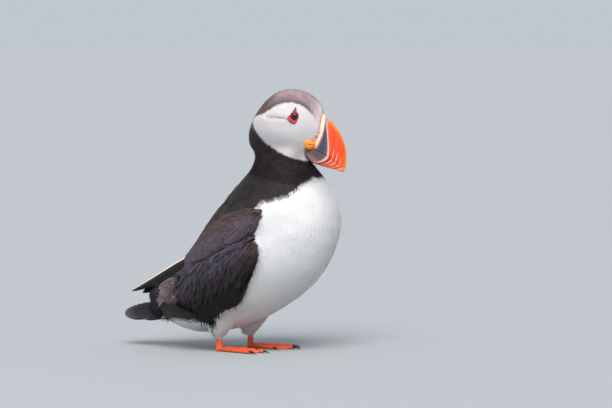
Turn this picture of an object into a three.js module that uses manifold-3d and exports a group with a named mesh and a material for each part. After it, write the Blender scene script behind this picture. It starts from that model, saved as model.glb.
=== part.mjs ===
// A standing Atlantic puffin at life size, as solid sub-parts. Millimetres and degrees, +Z up.
// The bird faces +X and its left side is +Y. Its head is turned a little to its left.
import * as THREE from "three";
import { mergeVertices } from "three/addons/utils/BufferGeometryUtils.js";
import Module from "manifold-3d";

const wasm = await Module();
wasm.setup();

// ---- Driving dimensions ----
const gap = 0.3; // clearance between neighbouring pieces

const headPlace = { x: 33, z: 174, pitch: 30, yaw: 17 }; // the middle of the head, bill pointing down and left
const eyePlace = { x: 1.4, y: 15.9, z: 12.7, radius: 4.4 }; // in the head's own frame
const gapePlace = { x: 20.9, y: 10.3, z: -0.6, turn: 38, size: [4.9, 2.6, 3.9] }; // the mouth's corner

const bill = {
  base: 20.2, // from the middle of the head to the back of the bill
  tip: 55.2,
  cereWidth: 2.8, // the pale ridge behind the horny plates
  cereRise: 0.7,
  cereSeam: 0.005, // the cut in front of that ridge, as a share of the culmen
  baseHalfWidth: 8.2,
  tipHalfWidth: 0.9,
  tipCut: 0.985, // how far along the culmen the tip is cut off
  mouthBase: -0.9,
  mouthTip: -5.3,
  mouthBend: 2.2, // how late the mouth line turns down
  keelBase: -11.8,
  keelTip: -6.2,
  keelBend: 1.2,
  slant: 0.13, // the base leans back by this share of its height
};

const trunkEnds = { tail: 0, neck: 0.72, cut: 0.004 }; // shares of the torso's length, where it is parted
const tailSize = { root: -62, length: 48, halfWidth: 15.5, height: 31, roll: 27, thickness: 2.2 };

const bladeDroop = { left: 6, right: 0 }; // how far the flight feathers' lower edge sinks at the tip

const stance = { side: 20, left: -9, right: -17 }; // each foot's heel
const foot = { toeLengths: [27, 37, 34], toeAngles: [-24, 0, 19], toeRadius: 2, webThickness: 1.3 };
const clawLength = 6.5;

const colours = {
  black: 0x2a2327,
  white: 0xece8ea,
  face: 0xd6ced2,
  horn: 0xf2501a,
  cere: 0xead2b4,
  gape: 0xf59a12,
  foot: 0xe8431a,
  claw: 0x1f1a19,
  eye: 0x1a1210,
};

// ---- Shapes ----
const radians = THREE.MathUtils.degToRad;
const side = { left: 1, right: -1 };

// A closed mesh through rings of points, with a fan over each end.
function ringSolid(rings) {
  const perRing = rings[0].length;
  const points = rings.flat();
  const faces = [];
  for (let r = 0; r < rings.length - 1; r++) {
    for (let k = 0; k < perRing; k++) {
      const here = r * perRing + k;
      const next = r * perRing + ((k + 1) % perRing);
      faces.push(here, next, here + perRing, next, next + perRing, here + perRing);
    }
  }
  for (const end of [0, rings.length - 1]) {
    const middle = new THREE.Vector3();
    rings[end].forEach((p) => middle.addScaledVector(p, 1 / perRing));
    const centre = points.push(middle) - 1;
    for (let k = 0; k < perRing; k++) {
      const here = end * perRing + k;
      const next = end * perRing + ((k + 1) % perRing);
      faces.push(...(end === 0 ? [centre, next, here] : [centre, here, next]));
    }
  }
  const geometry = new THREE.BufferGeometry().setFromPoints(points);
  geometry.setIndex(facingOut(points, faces));
  return geometry;
}

// The same faces, turned round if they enclose a negative volume.
function facingOut(points, faces) {
  let volume = 0;
  for (let f = 0; f < faces.length; f += 3) {
    const [a, b, c] = [points[faces[f]], points[faces[f + 1]], points[faces[f + 2]]];
    volume += a.dot(b.clone().cross(c));
  }
  return volume < 0 ? [...faces].reverse() : faces;
}

const signedPower = (value, power) => Math.sign(value) * Math.abs(value) ** power;

// A solid through oval ribs. Each rib runs between two edge points, a and b, and is half thick to each side.
// full sets how square the ovals are.
function ribSolid(ribs, { rings = 16, sides = 20, from = 0, to = 1, full = 2, grow = 0 } = {}) {
  const edgeA = new THREE.CatmullRomCurve3(ribs.map((rib) => new THREE.Vector3(...rib.a)));
  const edgeB = new THREE.CatmullRomCurve3(ribs.map((rib) => new THREE.Vector3(...rib.b)));
  const halves = new THREE.SplineCurve(ribs.map((rib, i) => new THREE.Vector2(i, rib.half)));
  const middle = (t) => edgeA.getPoint(t).add(edgeB.getPoint(t)).multiplyScalar(0.5);
  const made = [];
  for (let r = 0; r <= rings; r++) {
    const t = THREE.MathUtils.lerp(from, to, r / rings);
    const ahead = middle(Math.min(t + 0.01, 1)).sub(middle(Math.max(t - 0.01, 0))).normalize();
    const across = edgeA.getPoint(t).sub(edgeB.getPoint(t)).multiplyScalar(0.5);
    const thick = new THREE.Vector3().crossVectors(across, ahead).normalize();
    across.setLength(across.length() + grow);
    thick.multiplyScalar(halves.getPoint(t).y + grow);
    const endShift = r === 0 ? -grow : r === rings ? grow : 0;
    const centre = middle(t).addScaledVector(ahead, endShift);
    const ring = [];
    for (let k = 0; k < sides; k++) {
      const turn = (2 * Math.PI * k) / sides;
      const up = signedPower(Math.cos(turn), 2 / full);
      const out = signedPower(Math.sin(turn), 2 / full);
      ring.push(centre.clone().addScaledVector(across, up).addScaledVector(thick, out));
    }
    made.push(ring);
  }
  return ringSolid(made);
}

// ---- Booleans ----
function toSolid(geometry) {
  const bare = new THREE.BufferGeometry();
  bare.setAttribute("position", geometry.getAttribute("position").clone());
  if (geometry.index) bare.setIndex(geometry.index.clone());
  const merged = mergeVertices(bare, 1e-4);
  return new wasm.Manifold(
    new wasm.Mesh({
      numProp: 3,
      vertProperties: new Float32Array(merged.getAttribute("position").array),
      triVerts: new Uint32Array(merged.index.array),
    }),
  );
}

function toGeometry(solid) {
  const found = solid.getMesh();
  const geometry = new THREE.BufferGeometry();
  geometry.setAttribute("position", new THREE.BufferAttribute(new Float32Array(found.vertProperties), 3));
  geometry.setIndex(new THREE.BufferAttribute(new Uint32Array(found.triVerts), 1));
  return geometry;
}

// What is left of a geometry outside the others, keeping its largest piece.
function clearOf(geometry, ...others) {
  const left = others.reduce((solid, other) => solid.subtract(toSolid(other)), toSolid(geometry));
  const pieces = left.decompose().sort((p, q) => q.volume() - p.volume());
  return toGeometry(pieces[0]);
}

function joined(...geometries) {
  return toGeometry(geometries.map(toSolid).reduce((all, next) => all.add(next)));
}

// ---- Torso: trunk and neck are one form, parted by a thin cut ----
// From the root of the tail to inside the head: a point on the back, one on the belly, and half the width.
const torsoRibs = [
  { back: [-87, 46], belly: [-80, 26], half: 9 },
  { back: [-71, 56], belly: [-64, 18], half: 19 },
  { back: [-54, 69.5], belly: [-41, 12.5], half: 31 },
  { back: [-40.5, 88.5], belly: [-9, 17], half: 39 },
  { back: [-29.5, 104.5], belly: [24, 31.5], half: 44 },
  { back: [-18, 118.5], belly: [53, 53], half: 45.5 },
  { back: [-10.5, 127.5], belly: [69, 77], half: 44 },
  { back: [-4.5, 134], belly: [75.2, 101], half: 41 },
  { back: [0.5, 140], belly: [71, 121], half: 35 },
  { back: [5, 146], belly: [61, 137.5], half: 28 },
  { back: [6.5, 153], belly: [53, 148], half: 23 },
  { back: [7, 161], belly: [49.5, 157], half: 19.5 },
  { back: [14, 170], belly: [44, 166], half: 13 },
];

function torso(from, to, rings, grow = 0) {
  const ribs = torsoRibs.map(({ back, belly, half }) => ({
    a: [back[0], 0, back[1]],
    b: [belly[0], 0, belly[1]],
    half,
  }));
  return ribSolid(ribs, { rings, sides: 24, from, to, full: 2.1, grow });
}

// ---- Head, in its own frame: x along the closed mouth, z up ----
const headRibs = [
  { x: -27.8, top: 3, bottom: -6.5, half: 5 },
  { x: -26, top: 13, bottom: -15.5, half: 12 },
  { x: -21, top: 24, bottom: -24.5, half: 17 },
  { x: -12, top: 30.9, bottom: -28.5, half: 19.6 },
  { x: -2, top: 33.9, bottom: -26, half: 20 },
  { x: 8, top: 33.3, bottom: -21.5, half: 18 },
  { x: 15.5, top: 29.9, bottom: -17.5, half: 14.3 },
  { x: 20.5, top: 26.2, bottom: -14.5, half: 11 },
  { x: 24, top: 23.2, bottom: -12.5, half: 8.6 },
];

function headForm(grow = 0) {
  const ribs = headRibs.map(({ x, top, bottom, half }) => ({ a: [x, 0, top], b: [x, 0, bottom], half }));
  return ribSolid(ribs, { rings: 15, sides: 24, full: 2.15, grow });
}

// The culmen, in profile, falls in one curve from the forehead to the tip.
const culmen = new THREE.QuadraticBezierCurve(
  new THREE.Vector2(bill.base, 24.6),
  new THREE.Vector2(46.4, 20.6),
  new THREE.Vector2(bill.tip, bill.mouthTip + 0.6),
);

// One cross-section of a mandible: an arch from the mouth line to the ridge, closed by a flat along the mouth.
function mandibleRing(t, upper, grow) {
  const ridge = culmen.getPoint(t);
  const x = ridge.x;
  const mouth = THREE.MathUtils.lerp(bill.mouthBase, bill.mouthTip, t ** bill.mouthBend);
  const keel = THREE.MathUtils.lerp(bill.keelBase, bill.keelTip, t ** bill.keelBend);
  const halfWidth = THREE.MathUtils.lerp(bill.baseHalfWidth, bill.tipHalfWidth, t ** 1.15) + grow;
  const edge = mouth + (upper ? gap / 2 : -gap / 2) * (grow > 0 ? -1 : 1);
  const peak = upper ? ridge.y + grow : keel - grow;
  const ring = [];
  const steps = 10;
  for (let k = 0; k <= steps; k++) {
    const turn = (Math.PI * k) / steps;
    const z = edge + (peak - edge) * Math.sin(turn);
    const y = halfWidth * signedPower(Math.cos(turn), upper ? 0.85 : 0.7);
    ring.push(new THREE.Vector3(x - bill.slant * (z - bill.mouthBase) * (1 - t), y, z));
  }
  return ring;
}

function mandible(upper, from = 0, to = 1, grow = 0) {
  const rings = [];
  const count = Math.max(2, Math.round(12 * (to - from)));
  for (let r = 0; r <= count; r++) {
    const t = THREE.MathUtils.lerp(from, to, r / count);
    rings.push(mandibleRing(Math.min(t, bill.tipCut), upper, grow));
  }
  return ringSolid(rings);
}

const cereEnd = bill.cereWidth / (2 * (46.4 - bill.base)); // where the ridge ends, as a share of the culmen

function ball(radius, segments = 12) {
  return new THREE.SphereGeometry(radius, segments, Math.round(segments * 0.6));
}

function eyeBall(which, grow = 0) {
  return ball(eyePlace.radius + grow).translate(eyePlace.x, side[which] * eyePlace.y, eyePlace.z);
}

// The fleshy yellow rosette at the corner of the mouth.
function gapePad(which, grow = 0) {
  const [long, thick, tall] = gapePlace.size.map((half) => half + grow);
  return ball(1)
    .scale(long, thick, tall)
    .rotateZ(-side[which] * radians(gapePlace.turn))
    .translate(gapePlace.x, side[which] * gapePlace.y, gapePlace.z);
}

const billForms = (grow) => [
  mandible(true, 0, 1, grow),
  mandible(false, 0, 1, grow),
  mandible(true, 0, cereEnd, bill.cereRise + grow),
];

// ---- Wings: an upper lobe of shoulder feathers, a lower lobe of coverts, and the blade of flight feathers ----
// Ribs run from the upper edge to the lower edge of the right wing; the left one mirrors them.
const shoulderRibs = [
  { a: [30.5, -44, 114], b: [31, -45.5, 109.5], half: 2 },
  { a: [22.2, -43.7, 114.5], b: [28.2, -47.3, 99.4], half: 5 },
  { a: [11, -42.2, 112.2], b: [20.8, -48.3, 91], half: 6.5 },
  { a: [-4.1, -38, 107.7], b: [10.2, -48.2, 85.5], half: 7 },
  { a: [-18.7, -34.5, 97], b: [-2.5, -47.1, 78], half: 7 },
  { a: [-31.8, -30.9, 83.9], b: [-17.9, -43.9, 70], half: 6 },
  { a: [-42.6, -26.6, 73.1], b: [-35, -37.1, 64.5], half: 4 },
];
const covertRibs = [
  { a: [31, -48.5, 88], b: [31.5, -46.9, 77.2], half: 3 },
  { a: [24.6, -49.1, 92.5], b: [21.2, -43.5, 57.9], half: 6.5 },
  { a: [12.6, -49.3, 89], b: [10.1, -36, 38.3], half: 8 },
  { a: [-2, -48.1, 82], b: [-4.1, -37, 33.5], half: 8 },
  { a: [-18.3, -44.8, 74], b: [-21.6, -35, 28], half: 7.5 },
  { a: [-34.8, -37.5, 69.5], b: [-32.7, -36.6, 32.5], half: 6.5 },
  { a: [-50.6, -29.7, 59.5], b: [-44.7, -35.1, 36.5], half: 5.5 },
  { a: [-68.6, -18.5, 49], b: [-62, -26, 39.5], half: 3 },
];
const bladeRibs = [
  { a: [-25.6, -38, 78.5], b: [-23.6, -42.8, 69], half: 1.8 },
  { a: [-47, -21.5, 72.8], b: [-40.4, -34.9, 64.5], half: 1.8 },
  { a: [-67.6, -14, 62.5], b: [-63.5, -24, 55], half: 1.6 },
  { a: [-84.5, -9.5, 53], b: [-82, -17.5, 48.4], half: 1.3 },
  { a: [-97, -8, 45.8], b: [-96, -12, 43.8], half: 0.9 },
  { a: [-100.6, -8.6, 43.6], b: [-100.4, -9.6, 43], half: 0.6 },
];

function wingPiece(ribs, which, options) {
  const turned = ribs.map(({ a, b, half }) => ({
    a: [a[0], -side[which] * a[1], a[2]],
    b: [b[0], -side[which] * b[1], b[2]],
    half,
  }));
  return ribSolid(turned, options);
}

const shoulder = (which, grow = 0) => wingPiece(shoulderRibs, which, { rings: 10, sides: 14, full: 2.2, grow });
const coverts = (which, grow = 0) => wingPiece(covertRibs, which, { rings: 11, sides: 14, full: 2.4, grow });

// The left wing's flight feathers hang a little lower at the tip.
function blade(which, grow = 0) {
  const ribs = bladeRibs.map(({ a, b, half }, i) => {
    const drop = (bladeDroop[which] * i) / (bladeRibs.length - 1);
    return { a: [a[0], a[1], a[2] - drop * 0.25], b: [b[0], b[1], b[2] - drop], half };
  });
  return wingPiece(ribs, which, { rings: 8, sides: 10, full: 2.4, grow });
}

// ---- Tail: a short fan with a rounded end, rolled a little to the bird's right ----
function tailFan(grow = 0) {
  const { root, length, halfWidth, height, roll, thickness } = tailSize;
  const down = radians(roll);
  const ribs = [];
  const count = 7;
  for (let r = 0; r <= count; r++) {
    const t = r / count;
    const spread = halfWidth * (0.62 + 0.38 * t) * Math.sqrt(1 - Math.max(0, (t - 0.55) / 0.47) ** 2.2);
    const x = root - length * t;
    const sag = height - 3.2 * t ** 2;
    ribs.push({
      a: [x, spread * Math.cos(down), sag + spread * Math.sin(down)],
      b: [x, -spread * Math.cos(down), sag - spread * Math.sin(down)],
      half: thickness * (1.5 - t),
    });
  }
  return ribSolid(ribs, { rings: 10, sides: 16, full: 2.4, grow });
}

// ---- Legs ----
function thigh(which, grow = 0) {
  const y = side[which] * stance.side;
  const x = stance[which];
  const ribs = [
    { a: [x - 13, y, 44], b: [x + 22, y, 40], half: 13 },
    { a: [x - 12, y, 30], b: [x + 16, y, 27], half: 12 },
    { a: [x - 8.5, y, 19.5], b: [x + 9, y, 17.5], half: 9 },
    { a: [x - 4.5, y, 12.5], b: [x + 4, y, 11.5], half: 5 },
  ];
  return ribSolid(ribs, { rings: 6, sides: 14, grow });
}

function shank(which, grow = 0) {
  const y = side[which] * stance.side;
  const x = stance[which];
  const ribs = [
    { a: [x - 3.2, y, 1.2], b: [x + 2.6, y, 1.2], half: 2.4 },
    { a: [x - 2.8, y, 5], b: [x + 2.4, y, 5], half: 2 },
    { a: [x - 2.8, y, 12], b: [x + 2.2, y, 12], half: 1.9 },
    { a: [x - 3, y, 22], b: [x + 2.6, y, 22], half: 2.2 },
  ];
  return ribSolid(ribs, { rings: 6, sides: 10, grow });
}

// A toe lies on the floor from the heel out to its claw.
function toeDirection(which, toe) {
  const angle = radians(foot.toeAngles[toe]) * side[which];
  return new THREE.Vector3(Math.cos(angle), Math.sin(angle), 0);
}

function toeRod(which, toe) {
  const along = toeDirection(which, toe);
  const origin = new THREE.Vector3(stance[which], side[which] * stance.side, 0);
  const ribs = [0, 0.3, 0.65, 1].map((t) => {
    const at = origin.clone().addScaledVector(along, foot.toeLengths[toe] * t);
    const radius = foot.toeRadius * (1 - 0.3 * t);
    return { a: [at.x, at.y, 2 * radius], b: [at.x, at.y, 0], half: radius };
  });
  return ribSolid(ribs, { rings: 3, sides: 8, full: 2.6 });
}

function webPlate(which) {
  const outline = new THREE.Shape();
  const reach = foot.toeAngles.map((_, toe) => toeDirection(which, toe).multiplyScalar(foot.toeLengths[toe] * 0.97));
  outline.moveTo(-2.4, 0);
  outline.lineTo(reach[0].x, reach[0].y);
  for (const toe of [1, 2]) {
    const between = reach[toe - 1].clone().add(reach[toe]).multiplyScalar(0.46);
    outline.quadraticCurveTo(between.x, between.y, reach[toe].x, reach[toe].y);
  }
  outline.closePath();
  const plate = new THREE.ExtrudeGeometry(outline, { depth: foot.webThickness, bevelEnabled: false, curveSegments: 5 });
  return plate.translate(stance[which], side[which] * stance.side, 0);
}

const footForm = (which) => joined(webPlate(which), ...foot.toeLengths.map((_, toe) => toeRod(which, toe)));

function claw(which, toe) {
  const along = toeDirection(which, toe);
  const start = foot.toeLengths[toe] + gap;
  const origin = new THREE.Vector3(stance[which], side[which] * stance.side, 0);
  const profile = [
    { t: 0, top: 2.7, bottom: 0.5, half: 1.2 },
    { t: 0.4, top: 2.6, bottom: 0.9, half: 0.9 },
    { t: 0.75, top: 1.9, bottom: 0.6, half: 0.6 },
    { t: 1, top: 0.7, bottom: 0.15, half: 0.3 },
  ];
  const ribs = profile.map(({ t, top, bottom, half }) => {
    const at = origin.clone().addScaledVector(along, start + clawLength * t);
    return { a: [at.x, at.y, top], b: [at.x, at.y, bottom], half };
  });
  return ribSolid(ribs, { rings: 4, sides: 8 });
}

// ---- Assembly ----
const bird = new THREE.Group();
const headGroup = new THREE.Group();
headGroup.position.set(headPlace.x, 0, headPlace.z);
headGroup.rotation.set(0, radians(headPlace.pitch), radians(headPlace.yaw), "ZYX");
headGroup.updateMatrixWorld();
bird.add(headGroup);

function addPiece(parent, name, geometry, colour, roughness = 0.8) {
  const material = new THREE.MeshStandardMaterial({ color: colour, roughness, metalness: 0 });
  const mesh = new THREE.Mesh(geometry, material);
  mesh.name = name;
  parent.add(mesh);
}

function addHead() {
  const sockets = ["left", "right"].map((which) => eyeBall(which, gap));
  addPiece(headGroup, "head", clearOf(headForm(), ...sockets, ...billForms(gap)), colours.face);
  addPiece(headGroup, "bill_cere", mandible(true, 0, cereEnd, bill.cereRise), colours.cere, 0.5);
  addPiece(headGroup, "bill_upper", mandible(true, cereEnd + bill.cereSeam, 1), colours.horn, 0.35);
  addPiece(headGroup, "bill_lower", mandible(false), colours.horn, 0.35);
  for (const which of ["left", "right"]) {
    addPiece(headGroup, `${which}_eye`, eyeBall(which), colours.eye, 0.1);
    addPiece(headGroup, `${which}_gape`, clearOf(gapePad(which), headForm(gap), ...billForms(gap)), colours.gape, 0.5);
  }
}

function addTorso() {
  const headForms = [headForm(gap), ...billForms(gap), gapePad("left", gap), gapePad("right", gap)];
  headForms.forEach((form) => form.applyMatrix4(headGroup.matrixWorld));
  const thighs = ["left", "right"].map((which) => thigh(which, gap));
  const tail = tailFan(gap);
  addPiece(bird, "trunk", clearOf(torso(trunkEnds.tail, trunkEnds.neck, 17), ...thighs, tail), colours.white);
  addPiece(bird, "neck", clearOf(torso(trunkEnds.neck + trunkEnds.cut, 1, 7), ...headForms), colours.black);
  addPiece(bird, "tail", tailFan(), colours.black);
}

function addWing(which) {
  const body = torso(0, 1, 25, gap);
  addPiece(bird, `${which}_wing_shoulder`, clearOf(shoulder(which), body), colours.black);
  addPiece(bird, `${which}_wing_coverts`, clearOf(coverts(which), body, shoulder(which, gap)), colours.black);
  const others = [body, shoulder(which, gap), coverts(which, gap), tailFan(gap)];
  addPiece(bird, `${which}_wing_primaries`, clearOf(blade(which), ...others), colours.black);
}

function addLeg(which) {
  const footSolid = footForm(which);
  const wings = [coverts(which, gap)];
  addPiece(bird, `${which}_thigh`, clearOf(thigh(which), shank(which, gap), ...wings), colours.white);
  addPiece(bird, `${which}_foot`, clearOf(footSolid, shank(which, gap)), colours.foot, 0.5);
  addPiece(bird, `${which}_shank`, shank(which), colours.foot, 0.5);
  foot.toeLengths.forEach((_, toe) => {
    addPiece(bird, `${which}_claw_${toe + 1}`, claw(which, toe), colours.claw, 0.4);
  });
}

addHead();
addTorso();
for (const which of ["left", "right"]) {
  addWing(which);
  addLeg(which);
}

// The origin is under the middle of the bird's bounding box, on the floor.
const bounds = new THREE.Box3().setFromObject(bird, true);
const middle = bounds.getCenter(new THREE.Vector3());
bird.position.set(-middle.x, -middle.y, -bounds.min.z);

const model = new THREE.Group();
model.add(bird);

export default model;
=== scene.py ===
import bpy
import bmesh
import math
import numpy as np
from mathutils import Matrix, Vector
from mathutils.bvhtree import BVHTree


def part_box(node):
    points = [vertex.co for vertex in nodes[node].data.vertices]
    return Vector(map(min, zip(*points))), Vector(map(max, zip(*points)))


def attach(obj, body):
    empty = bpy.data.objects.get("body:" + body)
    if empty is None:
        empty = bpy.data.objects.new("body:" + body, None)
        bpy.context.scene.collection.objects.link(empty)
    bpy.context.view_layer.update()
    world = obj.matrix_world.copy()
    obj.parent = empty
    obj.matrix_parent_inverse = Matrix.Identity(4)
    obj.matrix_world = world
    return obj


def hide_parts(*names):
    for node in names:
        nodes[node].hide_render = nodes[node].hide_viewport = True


# A standing Atlantic puffin: one skin under a coat of feathers, and bill, eyes and feet as their own pieces.
# x is the way the body faces, y its left side, z up. Metres, with mm for the small sizes.

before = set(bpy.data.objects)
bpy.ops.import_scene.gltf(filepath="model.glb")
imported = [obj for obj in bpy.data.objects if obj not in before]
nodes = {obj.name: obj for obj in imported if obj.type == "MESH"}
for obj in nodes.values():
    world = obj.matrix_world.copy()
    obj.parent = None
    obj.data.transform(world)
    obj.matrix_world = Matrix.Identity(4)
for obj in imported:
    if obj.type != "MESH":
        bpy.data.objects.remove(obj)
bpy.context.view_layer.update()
mm = 0.001
dice = np.random.default_rng(7)
sides = {"left": 1, "right": -1}


def middleOf(name):
    low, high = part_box(name)
    return (low + high) / 2


head = {
    "yaw": 17,  # degrees, to the bird's left
    "pitch": 30,  # degrees, bill down
    "eye": Vector((1.4, 15.9, 12.7)) * mm,  # in the head's own frame: x along the closed mouth, z up
    "height": 174 * mm,
    "ahead": 33 * mm,  # in front of the bird's own zero
}
headTurn = Matrix.Rotation(math.radians(head["yaw"]), 3, "Z")
headTurn = headTurn @ Matrix.Rotation(math.radians(head["pitch"]), 3, "Y")
eyesMiddle = (middleOf("left_eye") + middleOf("right_eye")) / 2
headPlace = eyesMiddle - headTurn @ Vector((head["eye"].x, 0, head["eye"].z))
bodyPlace = headPlace - Vector((head["ahead"], 0, head["height"]))  # the bird's own zero, on the floor
headMatrix = headTurn.to_4x4()
headMatrix.translation = headPlace
toRow = np.array(bodyPlace)
headSpot = np.array(headPlace)
headAxes = np.array(headTurn)


def inHead(points):  # row frame to the head's own frame, for arrays of points
    return (points - headSpot) @ headAxes


def fromHead(x, y, z):  # arrays in the head's own frame, in millimetres, to the row frame
    return np.stack([x, y, z], -1) * mm @ headAxes.T + headSpot


def bird(x, y, z):  # millimetres in the bird's own frame to a place in the row frame
    return Vector((x, y, z)) * mm + bodyPlace


view = {
    "azimuth": 25,  # degrees ahead of the bird's right side
    "elevation": 3,
    "lens": 200,
    "sensor": 36,
    "across": 483.5 * mm,  # what the picture's width shows at the bird
    "right": 44.2 * mm,  # from the bird's zero to the middle of the picture
    "up": 115.3 * mm,
}


def makeCamera():
    turn, rise = math.radians(view["azimuth"]), math.radians(view["elevation"])
    back = Vector((math.sin(turn) * math.cos(rise), -math.cos(turn) * math.cos(rise), math.sin(rise)))
    right = Vector((math.cos(turn), math.sin(turn), 0))
    target = bodyPlace + right * view["right"] + back.cross(right) * view["up"]
    data = bpy.data.cameras.new("camera")
    data.lens = view["lens"]
    data.sensor_width = view["sensor"]
    camera = bpy.data.objects.new("camera", data)
    camera.location = target + back * (view["across"] * view["lens"] / view["sensor"])
    camera.rotation_euler = back.to_track_quat("Z", "Y").to_euler()
    bpy.context.scene.collection.objects.link(camera)
    bpy.context.scene.camera = camera


studio = {
    "floor": (0.392, 0.418, 0.438),
    "floorHalf": 30,
    "sky": (0.86, 0.92, 1.0),
    "skyStrength": 0.62,
    "sun": 3.4,
    "sunColour": (1.0, 0.97, 0.93),
    "sunSpread": 38,  # degrees, for soft shadows
    "sunFrom": (0.35, -0.75, 1.0),
    "fillPower": 1.6,
    "fillColour": (0.90, 0.95, 1.0),
    "fillSize": 0.9,
    "fillFrom": (-0.6, -0.9, 0.25),
    "aim": (0.01, 0, 0.11),  # where both lamps point, in the bird's own frame
}


def addLamp(name, kind, place, strength, colour, size):
    data = bpy.data.lights.new(name, kind)
    data.energy = strength
    data.color = colour
    if kind == "SUN":
        data.angle = math.radians(size)
    else:
        data.shape = "DISK"
        data.size = size
    lamp = bpy.data.objects.new(name, data)
    lamp.location = bodyPlace + Vector(place)
    aim = bodyPlace + Vector(studio["aim"]) - lamp.location
    lamp.rotation_euler = aim.to_track_quat("-Z", "Y").to_euler()
    bpy.context.scene.collection.objects.link(lamp)


def newThing(name, bm):  # an object in the scene from a finished bmesh
    mesh = bpy.data.meshes.new(name)
    bm.to_mesh(mesh)
    bm.free()
    thing = bpy.data.objects.new(name, mesh)
    bpy.context.scene.collection.objects.link(thing)
    return thing


def newMaterial(name, roughness, **sockets):
    material = bpy.data.materials.new(name)
    material.use_nodes = True
    shader = material.node_tree.nodes["Principled BSDF"]
    shader.inputs["Roughness"].default_value = roughness
    for socket, value in sockets.items():
        shader.inputs[socket.replace("_", " ")].default_value = value
    return material, material.node_tree, shader


def makeStudio():
    world = bpy.data.worlds.new("studio")
    world.use_nodes = True
    background = world.node_tree.nodes["Background"]
    background.inputs["Color"].default_value = (*studio["sky"], 1)
    background.inputs["Strength"].default_value = studio["skyStrength"]
    bpy.context.scene.world = world
    bpy.context.scene.view_settings.view_transform = "Standard"
    addLamp("key", "SUN", studio["sunFrom"], studio["sun"], studio["sunColour"], studio["sunSpread"])
    addLamp("fill", "AREA", studio["fillFrom"], studio["fillPower"], studio["fillColour"], studio["fillSize"])
    bm = bmesh.new()
    bmesh.ops.create_grid(bm, x_segments=8, y_segments=8, size=studio["floorHalf"])
    floor = newThing("floor", bm)
    material, _, shader = newMaterial("palePaper", 0.9)
    shader.inputs["Base Color"].default_value = (*studio["floor"], 1)
    floor.data.materials.append(material)


makeCamera()
makeStudio()
print("camera and studio ready")


def unit(vectors):
    return vectors / np.maximum(np.linalg.norm(vectors, axis=-1, keepdims=True), 1e-12)


def smoothstep(low, high, value):
    share = np.clip((value - low) / (high - low), 0, 1)
    return share * share * (3 - 2 * share)


def bump(value, middle, width):
    return np.exp(-((value - middle) / width) ** 2)


def blend(first, second, share):
    return first + (second - first) * share[..., None]


def paints(table):  # each colour as one row, ready to blend over many places
    return {name: np.array([value]) for name, value in table.items()}


def paintMesh(mesh, name, colours):  # one colour on each vertex, as an attribute that materials read
    colours = np.hstack([colours, np.ones((len(colours), 1))]).astype(np.float32)
    mesh.color_attributes.new(name, "FLOAT_COLOR", "POINT").data.foreach_set("color", colours.ravel())


def softNoise(points, size, seed=0):  # smooth random numbers from -1 to 1, in blobs about this size
    scaled = points / size + 1000.0
    cell = np.floor(scaled).astype(np.int64)
    part = scaled - cell
    part = part * part * (3 - 2 * part)
    total = np.zeros(len(points))
    for corner in np.ndindex(2, 2, 2):
        at = cell + corner
        mixed = (at[:, 0] * 73856093) ^ (at[:, 1] * 19349663) ^ (at[:, 2] * 83492791) ^ (seed * 2654435)
        mixed = (mixed ^ (mixed >> 13)) * 1274126177
        value = ((mixed ^ (mixed >> 16)) & 0xFFFF) / 32767.5 - 1
        total += value * np.prod(np.where(corner, part, 1 - part), axis=1)
    return total


def between(before, start, end, after, share):  # a smooth way from start to end, led by their neighbours
    return 0.5 * (2 * start + (end - before) * share + (2 * before - 5 * start + 4 * end - after) * share ** 2
                  + (3 * start - before - 3 * end + after) * share ** 3)


def curveThrough(points, closed=False, steps=10):  # a smooth line through a few points
    points = np.array(points, float)
    if closed:
        padded = np.vstack([points[-1], points, points[:2]])
    else:
        padded = np.vstack([2 * points[0] - points[1], points, 2 * points[-1] - points[-2]])
    made = []
    for before, start, end, after in zip(padded, padded[1:], padded[2:], padded[3:]):
        for share in np.arange(steps) / steps:
            made.append(between(before, start, end, after, share))
    if not closed:
        made.append(points[-1])
    return np.array(made)


def distanceTo(line, points, closed=False):  # distance to a line in a plane, positive to its left
    starts = line if closed else line[:-1]
    ends = np.roll(line, -1, axis=0) if closed else line[1:]
    steps = ends - starts
    found = np.empty(len(points))
    handful = 20000  # points worked out at once
    for begin in range(0, len(points), handful):
        some = points[begin:begin + handful, None, :]
        share = ((some - starts) * steps).sum(-1) / np.maximum((steps ** 2).sum(-1), 1e-18)
        away = some - (starts + np.clip(share, 0, 1)[..., None] * steps)
        length = np.linalg.norm(away, axis=-1)
        near = length.argmin(1)
        row = np.arange(len(near))
        step, gap = steps[near], away[row, near]
        turn = np.sign(step[:, 0] * gap[:, 1] - step[:, 1] * gap[:, 0])
        found[begin:begin + handful] = length[row, near] * np.where(turn == 0, 1, turn)
    return found


def finishPiece(thing, slotName, *replaced):  # every piece rides on the one body of a still model
    if thing.name not in bpy.context.scene.collection.objects:
        bpy.context.scene.collection.objects.link(thing)
    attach(thing, "root")
    if replaced:
        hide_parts(*replaced)


def addNode(tree, kind, **settings):
    node = tree.nodes.new(kind)
    for setting, value in settings.items():
        if setting in node.inputs:
            node.inputs[setting].default_value = value
        else:
            setattr(node, setting, value)
    return node


def speckle(tree, source, scale, amount):  # a colour, lightened and darkened in fine blobs
    coordinates = addNode(tree, "ShaderNodeTexCoord")
    noise = addNode(tree, "ShaderNodeTexNoise", Scale=scale, Detail=3.0, Roughness=0.6)
    spread = addNode(tree, "ShaderNodeMapRange")
    spread.inputs["To Min"].default_value = 1 - amount
    spread.inputs["To Max"].default_value = 1 + amount
    mix = addNode(tree, "ShaderNodeMix", data_type="RGBA", blend_type="MULTIPLY")
    mix.inputs["Factor"].default_value = 1
    tree.links.new(coordinates.outputs["Object"], noise.inputs["Vector"])
    tree.links.new(noise.outputs["Fac"], spread.inputs["Value"])
    tree.links.new(source, mix.inputs[6])
    tree.links.new(spread.outputs["Result"], mix.inputs[7])
    return mix.outputs[2], noise.outputs["Fac"]


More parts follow.
